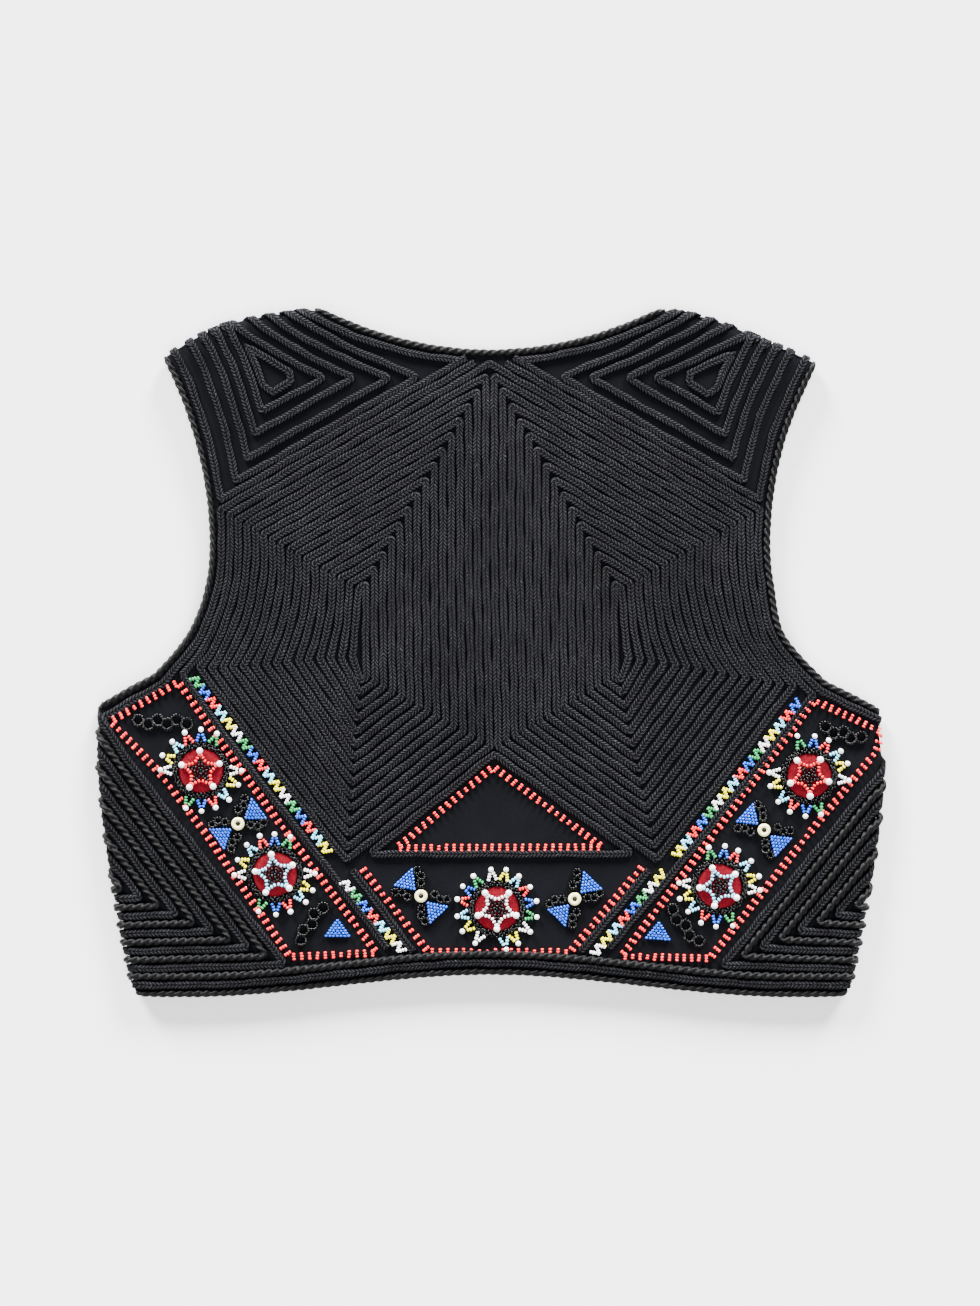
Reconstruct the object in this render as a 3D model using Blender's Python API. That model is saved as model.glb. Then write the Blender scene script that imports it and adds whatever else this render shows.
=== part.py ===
"""Corded and beaded folk vest, laid flat with its back up.

Units are metres, +Z is up and the neck points to +Y. The pattern is worked out in
millimetres in the plane of the cloth and each piece is then placed in space:
two plain fronts lie face down on the surface, two side panels turn round the side
folds, and the corded back lies on top. The cords sewn on the cloth are ribs on its
outer face, and a twisted cord runs round every edge.
"""
import math

import bmesh
import bpy
import numpy as np
from mathutils import Vector
from mathutils.geometry import delaunay_2d_cdt

MM = 0.001
CENTRE = Vector((0.81, 0.47, 0.0))

# Outline as it lies, half width and height from the middle, in millimetres
UNDERARM = (236.0, -33.5)
SIDE_LENGTH = 174.0
SIDE_TAPER = 23.4
HEM_MIDDLE = -193.4
HEM_DROP = 13.4
HEM_DROP_RUN = 180.0
HEM_STEP = 24.0
ARMHOLE_NARROW = (168.6, 64.2)
ARMHOLE_UPPER_R = 230.0
ARMHOLE_LOWER_R = 114.0
UNDERARM_SLOPE = 0.5035
NECK_R = 216.0
NECK_BOTTOM = 182.7
SHOULDER_NECK_END = (102.5, 208.5)
SHOULDER_TIP = (196.5, 177.8)
SHOULDER_RISE = 6.0
SHOULDER_LOW = 100.0
PATTERN_SHIFT = 8.4
PATTERN_SHIFT_TOP = 7.2
PATTERN_SHIFT_RUN = 180.0

# Thicknesses and folds
CLOTH = 1.5
FRONT_WALL = 3.0
CORD_HEIGHT = 2.2
CORD_WIDTH = 5.2
CORD_TOP_WIDTH = 2.6
LAYER_GAP = 2.4
FOLD_GAP = LAYER_GAP / 2
FOLD_Z = FRONT_WALL + FOLD_GAP
FOLD_R = FOLD_GAP + CLOTH + CORD_HEIGHT + 0.1
TURN_R = FOLD_GAP + CLOTH
SIDE_TURN = math.pi * TURN_R
NECK_DIP = 1.6
NECK_DIP_SPAN = (60.0, 36.0)
SEAM_GAP = 0.3
SEAM_HALF = 0.2

# Twisted edge cord
ROPE_R = 2.4
ROPE_LOW_R = 2.2
ROPE_PINCH = 0.75
ROPE_PINCH_RUN = 7.0
ROPE_SIDES = 6
ROPE_LIFT = 1.5
RING_GAP = 0.9
FRONT_INSET = 3.5
EDGE = 2 * ROPE_R + SEAM_GAP

# Corded web of each half of the back
WEB_RINGS = 15
WEB_SPAN = 15.4
WEB_PITCH = 5.1
YOKE_AXIS_Y = 185.4
YOKE_FALL = 0.58
CORE = {"top": (79.2, 33.8), "arm_top": (74.4, 36.0), "arm_low": (76.8, -1.8),
        "low": (76.8, -9.6), "axis": (79.2, -12.0)}

# Slanted band beside each web, measured square to its length, and the cords along it
BANDS = {-1: {"cos": 0.814, "sin": 0.581, "origin": 16.73},
         1: {"cos": 0.757, "sin": 0.653, "origin": 19.8}}
WEB_BAND_EDGE = 133.8
PANEL_CORD = 131.7
BAND_CORD = 143.2

# Cords of the side panels: slant and place of the first, then even steps towards the fold
SIDE_SLANTS = {-1: {"cos": 0.795, "sin": 0.606, "first": 210.7},
               1: {"cos": 0.778, "sin": 0.628, "first": 225.2}}
CHEVRON_PITCH = 5.5
CHEVRON_FIRST_Y = -187.0
CHEVRON_PITCH_Y = 5.0
CHEVRON_FALL = 2.7
CHEVRONS = 11
SIDE_SEAM_IN = 3.7
SIDE_SEAM_FROM_FOLD = 0.8

# Peak over the middle of the hem
PEAK_COS, PEAK_SIN, PEAK_ORIGIN = 0.605, 0.797, 44.5
WEB_PEAK_EDGE = 1.2
PEAK_CORD = 3.8
PEAK_BASE_Y = -120.6
HEM_ROW_FIRST = EDGE + CORD_WIDTH / 2
HEM_ROW_SECOND = HEM_ROW_FIRST + 5.1

# Nested cords of each shoulder: offset from the armhole, height of the low corner, and the rise
# from the next corner to past the shoulder fold
SHOULDER_CORDS = [
    {"arm": 19.2, "corner_y": 102.9, "rise": [(43.2, 165.5), (80.0, 181.0), (104.0, 193.8), (126.0, 207.0)]},
    {"arm": 28.2, "corner_y": 116.6, "rise": [(60.5, 165.0), (95.0, 180.0), (122.0, 194.5), (137.0, 205.0)]},
    {"arm": 36.0, "corner_y": 131.2, "rise": [(82.0, 165.0), (110.0, 178.5), (137.0, 194.5), (151.0, 204.0)]},
    {"arm": 43.8, "corner_y": 144.4, "rise": [(99.5, 165.0), (125.0, 177.5), (150.0, 191.5), (164.0, 201.0)]},
]
SHOULDER_HEART = [(146.0, 181.5), (120.0, 168.5), (119.5, 162.5), (130.5, 156.0),
                  (136.5, 160.0), (140.0, 170.0)]
ARM_CORD = 8.4
NECK_CORD = 7.8
NECK_CORD_START = 17.0

# Fronts, which lie underneath
FRONT_OPENING = 8.0
FRONT_NECK_Y = 62.0
FRONT_NECK_PULL = (84.0, 118.0)
FRONT_ARMHOLE_DEPTH = 9.0

# Felt discs under the bead stars
DISC_R = 13.5
DISC_THICK = 1.0
DISC_SIDES = 20
DISCS = {"middle": (4.2, -153.6), "left_upper": (-173.4, -70.5), "left_lower": (-129.0, -132.6),
         "right_upper": (191.4, -73.8), "right_lower": (137.6, -140.0)}

COLOURS = {"cord": (0.02, 0.02, 0.023), "edge": (0.006, 0.006, 0.007),
           "cloth": (0.007, 0.008, 0.011), "felt": (0.26, 0.01, 0.023)}


def ease(share):
    share = min(max(share, 0.0), 1.0)
    return share * share * (3.0 - 2.0 * share)


def shift(y):
    """How far the pattern has slipped to +X near the hem, where the vest lies a little askew."""
    return PATTERN_SHIFT * ease((PATTERN_SHIFT_TOP - y) / PATTERN_SHIFT_RUN)


def laid(path, side):
    """Half-pattern points set on one half of the back."""
    return [(side * x + shift(y), y) for x, y in path]


def side_edge(y):
    fall = min(max((UNDERARM[1] - y) / SIDE_LENGTH, 0.0), 1.1)
    return UNDERARM[0] - SIDE_TAPER * fall**1.7


def hem_edge(x):
    """Height of the hem, straight between stations so that all its edges and cords run alike."""
    station = math.floor(abs(x) / HEM_STEP)
    low, high = (HEM_MIDDLE - HEM_DROP * ease((station + i) * HEM_STEP / HEM_DROP_RUN) for i in (0, 1))
    return low + (high - low) * (abs(x) / HEM_STEP - station)


def hem_line(start, end, offset):
    """Line at an offset over the hem between two places across, with a point at every station."""
    low, high = sorted((start, end))
    stations = range(math.ceil((low + 1.0) / HEM_STEP), math.floor((high - 1.0) / HEM_STEP) + 1)
    xs = [low] + [i * HEM_STEP for i in stations] + [high]
    line = [(x, hem_edge(x) + offset) for x in xs]
    return line if start < end else line[::-1]


def band(p, side):
    slant = BANDS[side]
    return slant["cos"] * p[0] - slant["sin"] * p[1] - slant["origin"]


def band_x(distance, y, side):
    slant = BANDS[side]
    return (distance + slant["origin"] + slant["sin"] * y) / slant["cos"]


def band_meets_peak(band_distance, peak_distance, side):
    """Point where a line along the band crosses a line along the peak."""
    slant = BANDS[side]
    a, b = band_distance + slant["origin"], peak_distance + PEAK_ORIGIN
    cross = slant["cos"] * PEAK_SIN + slant["sin"] * PEAK_COS
    return (PEAK_SIN * a - slant["sin"] * b) / cross, -(slant["cos"] * b + PEAK_COS * a) / cross


def peak_x(distance, y):
    return (-PEAK_SIN * y - PEAK_ORIGIN - distance) / PEAK_COS


def yoke(p):
    """Distance below the first slanted cord of the yoke."""
    return (YOKE_AXIS_Y - YOKE_FALL * p[0] - p[1]) / math.hypot(1.0, YOKE_FALL)


def yoke_y(distance, x):
    return YOKE_AXIS_Y - YOKE_FALL * x - distance * math.hypot(1.0, YOKE_FALL)


def shoulder_circle():
    """Middle and radius of the arc that the shoulder fold follows."""
    (x0, y0), (x1, y1) = SHOULDER_NECK_END, SHOULDER_TIP
    half = math.hypot(x1 - x0, y1 - y0) / 2
    radius = (half**2 + SHOULDER_RISE**2) / (2 * SHOULDER_RISE)
    back = (radius - SHOULDER_RISE) / (2 * half)
    return ((x0 + x1) / 2 + back * (y1 - y0), (y0 + y1) / 2 - back * (x1 - x0)), radius


SHOULDER_MIDDLE, SHOULDER_R = shoulder_circle()


def past_shoulder(p):
    """Distance past the line where the shoulder starts to turn under."""
    if p[1] < SHOULDER_LOW:
        return -SHOULDER_LOW
    reach = math.hypot(abs(p[0]) - SHOULDER_MIDDLE[0], p[1] - SHOULDER_MIDDLE[1])
    return reach - (SHOULDER_R - FOLD_R)


def arc(middle, radius, start, end, steps):
    angles = [start + (end - start) * i / steps for i in range(steps + 1)]
    return [(middle[0] + radius * math.cos(a), middle[1] + radius * math.sin(a)) for a in angles]


def neck(offset):
    """Neck edge moved into the cloth, from the middle of the back to past the shoulder."""
    middle = (0.0, NECK_BOTTOM + NECK_R)
    return arc(middle, NECK_R + offset, math.radians(-90), math.radians(-57), 11)


def armhole(offset):
    """Armhole edge moved into the cloth, from past the shoulder down to past the side fold."""
    (x, y), upper, lower = ARMHOLE_NARROW, ARMHOLE_UPPER_R, ARMHOLE_LOWER_R
    path = arc((x + upper, y), upper + offset, math.radians(146), math.radians(180), 7)
    low_middle = (x + lower, y)
    slant = math.hypot(1.0, UNDERARM_SLOPE)

    def above_underarm(p):
        edge = UNDERARM[1] - UNDERARM_SLOPE * (p[0] - UNDERARM[0])
        return (p[1] - edge) / slant + offset

    around = arc(low_middle, lower + offset, math.radians(180), math.radians(236), 10)
    bend = crossing(around, above_underarm)
    path += around[1:bend[0] + 1] + [bend[1]]
    end_x = UNDERARM[0] + 14.0
    path.append((end_x, UNDERARM[1] - UNDERARM_SLOPE * 14.0 - offset * slant))
    return path


def crossing(path, measure):
    """Index and point where a path first goes through zero of a measure."""
    values = [measure(p) for p in path]
    for i in range(len(path) - 1):
        if (values[i] > 0) != (values[i + 1] > 0):
            share = values[i] / (values[i] - values[i + 1])
            (x0, y0), (x1, y1) = path[i], path[i + 1]
            return i, (x0 + (x1 - x0) * share, y0 + (y1 - y0) * share)
    raise ValueError("the path doesn't cross that line")


def before(path, measure):
    index, point = crossing(path, measure)
    return path[:index + 1] + [point]


def after(path, measure):
    index, point = crossing(path, measure)
    return [point] + path[index + 1:]


def refine(path, step=42.0):
    out = [path[0]]
    for (x0, y0), (x1, y1) in zip(path, path[1:]):
        parts = max(1, round(math.hypot(x1 - x0, y1 - y0) / step))
        out += [(x0 + (x1 - x0) * i / parts, y0 + (y1 - y0) * i / parts) for i in range(1, parts + 1)]
    return out


def moved(path, distance):
    """Path moved sideways by a distance, its corners kept sharp."""
    points = [Vector(p) for p in path]
    out = []
    for i, point in enumerate(points):
        sides = []
        for j in (i - 1, i):
            if 0 <= j < len(points) - 1:
                run = (points[j + 1] - points[j]).normalized()
                sides.append(Vector((-run.y, run.x)))
        normal = sum(sides, Vector((0, 0))).normalized()
        out.append(tuple(point + normal * distance / max(normal.dot(sides[0]), 0.35)))
    return out


def web_edge(side):
    """Outer edge of one half's web, a closed loop from the axis top by the armhole and peak."""
    first = 2.5 * WEB_PITCH
    arm = armhole(EDGE + 2 * WEB_PITCH)
    arm = before(after(arm, lambda p: yoke(p) - first), lambda p: band(p, side) - WEB_BAND_EDGE)
    low = band_meets_peak(WEB_BAND_EDGE, WEB_PEAK_EDGE, side)
    axis_y = -(PEAK_ORIGIN + WEB_PEAK_EDGE) / PEAK_SIN
    return [(0.0, yoke_y(first, 0.0))], arm, [low, (0.0, axis_y)]


def between(a, b, count):
    return [(a[0] + (b[0] - a[0]) * i / (count - 1), a[1] + (b[1] - a[1]) * i / (count - 1))
            for i in range(count)]


def web_ring(share, side):
    """Loop of the web at a share of the way from its edge to its core."""
    top, arm, low = web_edge(side)
    outer = top + arm + low
    inner = [CORE["top"]] + between(CORE["arm_top"], CORE["arm_low"], len(arm)) + [CORE["low"], CORE["axis"]]
    mix = [(a[0] + (b[0] - a[0]) * share, a[1] + (b[1] - a[1]) * share) for a, b in zip(outer, inner)]
    return mix + mix[:1]


def yoke_cord(number, side):
    """Second and third slanted cords, which turn down along the armhole."""
    distance = number * WEB_PITCH
    arm = after(armhole(EDGE + (number - 0.5) * WEB_PITCH), lambda p: yoke(p) - distance)
    start_x = 9.0 if number == 1 else 0.0
    path = [(start_x, yoke_y(distance, start_x))] + arm
    if number == 2:
        path = before(path, lambda p: band(p, side) - BAND_CORD)
        path.append((band_x(BAND_CORD, -177.0, side), -177.0))
    return path


def shoulder_cord(size):
    """One nested cord of the shoulder: down the armhole side, along the yoke and up to the fold."""
    return before(armhole(size["arm"]), lambda p: p[1] - size["corner_y"]) + size["rise"]


def single_cords(side):
    """Cords that don't belong to a web, as (half path, own foot on its left, on its right)."""
    arm = before(armhole(ARM_CORD), lambda p: yoke(p))
    cords = [(arm + [(14.0, yoke_y(0.0, 14.0))], True, False)]
    cords.append((yoke_cord(1, side), False, False))
    cords.append((yoke_cord(2, side), False, False))
    cords.append((after(neck(NECK_CORD), lambda p: p[0] - NECK_CORD_START), True, False))
    cords += [(shoulder_cord(size), True, True) for size in SHOULDER_CORDS]
    cords.append((SHOULDER_HEART + SHOULDER_HEART[:1], True, True))
    corner = (peak_x(PEAK_CORD, PEAK_BASE_Y), PEAK_BASE_Y)
    axis = (0.0, -(PEAK_ORIGIN + PEAK_CORD) / PEAK_SIN)
    cords.append(([axis, corner, (0.0, PEAK_BASE_Y)], False, True))
    cords.append(([(band_x(PANEL_CORD, y, side), y) for y in (-130.0, -179.0)], True, True))
    return cords


def valleys(side):
    """Lines shared by the feet of two cords that touch, outside the webs."""
    first = 1.5 * WEB_PITCH
    arm = after(armhole(EDGE + WEB_PITCH), lambda p: yoke(p) - first)
    between_cords = [(0.0, yoke_y(first, 0.0))] + arm
    upper = [(9.0, yoke_y(0.5 * WEB_PITCH, 9.0)), (170.0, yoke_y(0.5 * WEB_PITCH, 170.0))]
    inner_edge = [(band_x(BAND_CORD - CORD_WIDTH / 2, y, side), y) for y in (-4.0, -177.0)]
    outer_edge = [(band_x(BAND_CORD + CORD_WIDTH / 2, y, side), y) for y in (-4.0, -177.0)]
    base_y = PEAK_BASE_Y - CORD_WIDTH / 2
    under_peak = [(0.0, base_y), (peak_x(PEAK_CORD, PEAK_BASE_Y) + 2.0, base_y)]
    return [between_cords, upper, inner_edge, outer_edge, under_peak]


def chevron(number, side):
    """Cord of a side panel: down beside the band, then level towards the side fold and round it."""
    slant = SIDE_SLANTS[side]
    distance = slant["first"] + CHEVRON_PITCH * number
    level = CHEVRON_FIRST_Y + CHEVRON_PITCH_Y * number
    corner = ((distance + slant["sin"] * level) / slant["cos"], level)
    end_y = level - CHEVRON_FALL * max(1.0 - number / CHEVRONS, 0.0)
    low_end = (side_edge(end_y) - FOLD_R + SIDE_TURN, end_y)
    top_y = level
    for _ in range(30):
        top_y = ((side_edge(top_y) - FOLD_R + SIDE_TURN) * slant["cos"] - distance) / slant["sin"]
    return [(side_edge(top_y) - FOLD_R + SIDE_TURN, top_y), corner, low_end]


class Relief:
    """Height of the sewn cords over the cloth, from the distance to the nearest cord."""

    def __init__(self, paths):
        ends = [(a, b) for path in paths for a, b in zip(path, path[1:])]
        self.start = np.array([a for a, _ in ends])
        self.run = np.array([b for _, b in ends]) - self.start
        self.length2 = np.maximum((self.run**2).sum(1), 1e-9)

    def height(self, p):
        gap = np.array(p) - self.start
        share = np.clip((gap * self.run).sum(1) / self.length2, 0, 1)
        near = np.sqrt(((gap - self.run * share[:, None]) ** 2).sum(1).min())
        slope = (CORD_WIDTH / 2 - near) / (CORD_WIDTH / 2 - CORD_TOP_WIDTH / 2 - 0.03)
        return CORD_HEIGHT * min(max(slope, 0.0), 1.0)


def swell(x, y):
    """The back dips a little at the neck, where no front lies under it."""
    return -NECK_DIP * math.exp(-(x / NECK_DIP_SPAN[0]) ** 2 - ((y - NECK_BOTTOM) / NECK_DIP_SPAN[1]) ** 2)


def place(u, y, h):
    """Point in space of the cloth of the back and sides: u across it, y along it, h over its inner face."""
    side, across, r = math.copysign(1.0, u), abs(u), FOLD_GAP + h
    over = across - (side_edge(y) - FOLD_R)
    if over > 0:
        angle = min(over / TURN_R, math.pi)
        back_in = max(over - SIDE_TURN, 0.0)
        return Vector((side * (side_edge(y) - FOLD_R + r * math.sin(angle) - back_in), y,
                       FOLD_Z + r * math.cos(angle)))
    past = past_shoulder((across, y))
    if past > 0:
        return turned(side, across, y, past, r, 1.0)
    return Vector((u, y, FOLD_Z + r + swell(u, y)))


def turned(side, across, y, past, r, up):
    """Point round the shoulder fold. up is 1 on the back and -1 on the fronts."""
    reach = SHOULDER_R - FOLD_R
    nx, ny = (across - SHOULDER_MIDDLE[0]) / (reach + past), (y - SHOULDER_MIDDLE[1]) / (reach + past)
    angle = past / TURN_R
    out = reach + r * math.sin(angle)
    return Vector((side * (SHOULDER_MIDDLE[0] + nx * out), SHOULDER_MIDDLE[1] + ny * out,
                   FOLD_Z + up * r * math.cos(angle)))


def place_front(x, y, h):
    """Point of a front, which lies face down: h is measured down from its inner face."""
    past = past_shoulder((x, y))
    if past > 0:
        return turned(math.copysign(1.0, x), abs(x), y, past, FOLD_GAP + h, -1.0)
    return Vector((x, y, FOLD_Z - FOLD_GAP - h))


def settled(x, y):
    """How far a place on the vest is moved, because its two sides don't lie alike."""
    left, right, across = float(x < 0), float(x >= 0), abs(x)
    low = ease((-40.0 - y) / 30.0) * (across / 236.0) ** 2
    narrow = math.exp(-((y - 12.0) / 18.0) ** 2 - ((across - 182.0) / 28.0) ** 2)
    shoulder = math.exp(-((across - 168.0) / 32.0) ** 2) * ease((y - 120.0) / 60.0)
    underarm = math.exp(-((y + 15.0) / 28.0) ** 2) * ease((across - 160.0) / 35.0)
    return ((3.4 * low - 4.4 * narrow) * right - 1.6 * low * left,
            3.6 * shoulder * (left - right) + 4.2 * underarm * left)


def before_settling(x, y):
    """Place on the pattern that settles at the given place."""
    from_x, from_y = x, y
    for _ in range(4):
        dx, dy = settled(from_x, from_y)
        from_x, from_y = x - dx, y - dy
    return from_x, from_y


def in_metres(p):
    dx, dy = settled(p[0], p[1])
    return (Vector((p[0] + dx, p[1] + dy, p[2])) - CENTRE) * MM


def material(name, rgb, roughness):
    made = bpy.data.materials.new(name)
    made.use_nodes = True
    shader = made.node_tree.nodes["Principled BSDF"]
    shader.inputs["Base Color"].default_value = (*rgb, 1.0)
    shader.inputs["Roughness"].default_value = roughness
    shader.inputs["Metallic"].default_value = 0.0
    return made


def add_object(name, points, faces, finish):
    mesh = bpy.data.meshes.new(name)
    mesh.from_pydata([in_metres(p) for p in points], [], faces)
    work = bmesh.new()
    work.from_mesh(mesh)
    bmesh.ops.recalc_face_normals(work, faces=work.faces)
    work.to_mesh(mesh)
    work.free()
    mesh.materials.append(finish)
    made = bpy.data.objects.new(name, mesh)
    bpy.context.scene.collection.objects.link(made)
    return made


def triangulate(outline, paths, points=()):
    """Triangles of the area inside an outline, with the paths and points kept as edges and corners."""
    turn = sum(a[0] * b[1] - b[0] * a[1] for a, b in zip(outline, outline[1:] + outline[:1]))
    coords = [Vector(p) for p in (outline if turn > 0 else outline[::-1])]
    edges = []
    for path in paths:
        start = len(coords)
        coords += [Vector(p) for p in path]
        edges += [(start + i, start + i + 1) for i in range(len(path) - 1)]
    coords += [Vector(p) for p in points]
    face = list(range(len(outline)))
    found = delaunay_2d_cdt(coords, edges, [face], 1, 0.004)
    triangles = [tuple(f) for f, owner in zip(found[2], found[5]) if owner]
    return [tuple(v) for v in found[0]], triangles


def rim_of(triangles):
    """The triangles' open edge as one loop of vertex numbers."""
    directed = {(t[i], t[(i + 1) % 3]) for t in triangles for i in range(3)}
    follow = {a: b for a, b in directed if (b, a) not in directed}
    start = next(iter(follow))
    loop = [start]
    while follow[loop[-1]] != start:
        loop.append(follow[loop[-1]])
    if len(loop) != len(follow):
        raise ValueError("the cloth's edge isn't one loop")
    return loop


def wall(name, outline, paths, inner_points, outer, inner, finish):
    """Closed wall of cloth: an outer face with the cords' lines, and a plain inner face."""
    flat, triangles = triangulate(outline, paths)
    used = sorted({i for t in triangles for i in t})
    number = {old: new for new, old in enumerate(used)}
    flat = [flat[i] for i in used]
    triangles = [tuple(number[i] for i in t) for t in triangles]
    rim = rim_of(triangles)
    rim_flat = [flat[i] for i in rim]
    inner_flat, inner_triangles = triangulate(rim_flat, [], inner_points)
    points = [outer(*p) for p in flat] + [inner(*p) for p in inner_flat]
    base = len(flat)
    lookup = {}
    for i, p in enumerate(inner_flat):
        lookup.setdefault((round(p[0], 2), round(p[1], 2)), base + i)
    partner = [lookup[(round(p[0], 2), round(p[1], 2))] for p in rim_flat]
    faces = list(triangles) + [tuple(base + i for i in reversed(t)) for t in inner_triangles]
    count = len(rim)
    for i in range(count):
        j = (i + 1) % count
        faces.append((rim[j], rim[i], partner[i]))
        faces.append((rim[j], partner[i], partner[j]))
    return add_object(name, points, faces, finish)


def seam_x(y, side):
    """Side seam: beside the first cord of the side panel, and never round the fold."""
    slant = SIDE_SLANTS[side]
    beside = (slant["first"] - SIDE_SEAM_IN + slant["sin"] * y) / slant["cos"]
    return min(beside, side_edge(y) - FOLD_R - SIDE_SEAM_FROM_FOLD)


def halving(measure, low, high):
    """Height between two limits where a measure passes zero."""
    for _ in range(50):
        middle = (low + high) / 2
        if (measure(low) > 0) == (measure(middle) > 0):
            low = middle
        else:
            high = middle
    return low


def over_armhole(p, offset):
    """Distance above a line at an offset inside the lower armhole."""
    slant = math.hypot(1.0, UNDERARM_SLOPE)
    return (p[1] - UNDERARM[1] + UNDERARM_SLOPE * (p[0] - UNDERARM[0])) / slant + offset


def seam_line(side, gap):
    """Side seam from the armhole down to the hem, moved across by a gap."""
    top = halving(lambda y: over_armhole((seam_x(y, side) + gap, y), EDGE), -60.0, -20.0)
    low = halving(lambda y: y - hem_edge(seam_x(y, side) + gap) - EDGE, -204.0, -170.0)
    bend = halving(lambda y: seam_x(y, side) - side_edge(y) + FOLD_R + SIDE_SEAM_FROM_FOLD + 1e-6, top, low)
    ys = [top] + [bend + (low - bend) * i / 6 for i in range(7)]
    return [(seam_x(y, side) + gap, y) for y in ys]


def back_half_outline(side):
    """Half of the back's cloth edge, from the neck's middle to the hem's middle, on positive x."""
    turn = math.pi / 2 * TURN_R - SEAM_GAP / 2
    collar = before(neck(EDGE), lambda p: past_shoulder(p) - turn)
    arm = after(armhole(EDGE), lambda p: past_shoulder(p) - turn)
    start, end = collar[-1], arm[0]
    reach = SHOULDER_R - FOLD_R + turn
    a0, a1 = (math.atan2(p[1] - SHOULDER_MIDDLE[1], p[0] - SHOULDER_MIDDLE[0]) for p in (start, end))
    shoulder = arc(SHOULDER_MIDDLE, reach, a0, a1, 5)
    seam = seam_line(side, -SEAM_HALF)
    arm = [p for p in arm if p[0] < seam[0][0] - 1.0 or p[1] > 0]
    return collar + shoulder[1:-1] + arm + seam + hem_line(seam[-1][0], 0.0, EDGE)[1:]


def fold_lines(side):
    """Lines across the shoulder fold, which let it turn in steps."""
    (x0, y0), (x1, y1) = SHOULDER_NECK_END, SHOULDER_TIP
    a0 = math.atan2(y0 - SHOULDER_MIDDLE[1], x0 - SHOULDER_MIDDLE[0]) + 0.09
    a1 = math.atan2(y1 - SHOULDER_MIDDLE[1], x1 - SHOULDER_MIDDLE[0]) - 0.09
    lines = []
    for step in range(3):
        reach = SHOULDER_R - FOLD_R + TURN_R * step * math.pi / 6
        lines.append([(side * x, y) for x, y in arc(SHOULDER_MIDDLE, reach, a0, a1, 7)])
    return lines


def inside(p, outline, margin):
    """Whether a point is inside an outline and further than a margin from its edge."""
    ring = np.array(outline)
    ahead = np.roll(ring, -1, axis=0)
    run = ahead - ring
    gap = np.array(p) - ring
    share = np.clip((gap * run).sum(1) / np.maximum((run**2).sum(1), 1e-9), 0, 1)
    near = np.sqrt(((gap - run * share[:, None]) ** 2).sum(1).min())
    spans = (ring[:, 1] > p[1]) != (ahead[:, 1] > p[1])
    cut = ring[spans, 0] + (p[1] - ring[spans, 1]) * run[spans, 0] / run[spans, 1]
    return bool((cut > p[0]).sum() % 2) and near > margin


def lattice(outline, step, margin):
    """Evenly spread points inside an outline, kept off its edge."""
    xs, ys = zip(*outline)
    points = [(x, y) for x in np.arange(min(xs) + step / 2, max(xs), step)
              for y in np.arange(min(ys) + step / 2, max(ys), step)]
    return [(float(x), float(y)) for x, y in points if inside((x, y), outline, margin)]


def back_cords():
    """Middle lines of all cords on the back, and the lines that its outer face is folded along."""
    middles, lines = [], []
    for side in (-1, 1):
        for ring in range(WEB_RINGS):
            middles.append(laid(web_ring((ring + 0.5) / WEB_SPAN, side), side))
            for part in (0.0, 0.26, 0.74):
                lines.append(laid(refine(web_ring((ring + part) / WEB_SPAN, side)), side))
        for path, left_foot, right_foot in single_cords(side):
            path = refine(path)
            middles.append(laid(path, side))
            offsets = [-CORD_TOP_WIDTH / 2, CORD_TOP_WIDTH / 2]
            offsets += [CORD_WIDTH / 2] if left_foot else []
            offsets += [-CORD_WIDTH / 2] if right_foot else []
            lines += [laid(moved(path, offset), side) for offset in offsets]
        lines += [laid(refine(path), side) for path in valleys(side)]
        lines += fold_lines(side)
    hem_middles, hem_lines = hem_cords(-200.0, 200.0)
    return middles + hem_middles, lines + hem_lines


def hem_cords(start, end):
    """Middles and folding lines of the two rows of cord over the hem."""
    middles, lines = [], []
    for height in (HEM_ROW_FIRST, HEM_ROW_SECOND):
        middles.append(hem_line(start, end, height))
        for offset in (-CORD_TOP_WIDTH / 2, CORD_TOP_WIDTH / 2, CORD_WIDTH / 2):
            lines.append(hem_line(start, end, height + offset))
    return middles, lines


def add_back(finish):
    outline = back_half_outline(1)[:-1]
    outline += [(-x, y) for x, y in reversed(back_half_outline(-1)[1:])]
    middles, lines = back_cords()
    relief = Relief(middles)
    inner_points = lattice(outline, 30.0, 12.0)
    for side in (-1, 1):
        inner_points += [p for line in fold_lines(side) for p in line[1:-1]]
    return wall("back", outline, lines, inner_points,
                lambda u, y: place(u, y, CLOTH + relief.height((u, y))),
                lambda u, y: place(u, y, 0.0), finish)


def under_u(x, y):
    """Place across the side panel of a point x on its underside."""
    return 2 * (side_edge(y) - FOLD_R) + SIDE_TURN - x


def side_outline(side):
    """Edge of a side panel, unrolled: seam, hem round the fold, and the seam with the front."""
    seam = seam_line(side, SEAM_HALF)
    fold_x = side_edge(seam[-1][1]) - FOLD_R
    hem = hem_line(seam[-1][0], fold_x, EDGE)
    turn = [(fold_x + SIDE_TURN * i / 6, hem[-1][1] + FRONT_INSET * ease(i / 6)) for i in range(1, 7)]
    low = front_seam(side, SEAM_HALF)[-1]
    under = [(under_u(x, y), y) for x, y in hem_line(fold_x, low[0], EDGE + FRONT_INSET)[1:]]
    back_up = [(under_u(x, y), y) for x, y in reversed(front_seam(side, SEAM_HALF))]
    top, end = back_up[-1], seam[0]
    over = [(top[0] + (end[0] - top[0]) * i / 8, top[1] + (end[1] - top[1]) * ease(i / 8)) for i in range(1, 8)]
    return seam + hem[1:] + turn + under + back_up[1:] + over


def side_folds():
    """Lines along the side fold, which let it turn in steps."""
    lines = []
    for step in range(7):
        ys = [-30.0 - 20.0 * i for i in range(10)]
        lines.append([(side_edge(y) - FOLD_R + SIDE_TURN * step / 6, y) for y in ys])
    return lines


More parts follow.
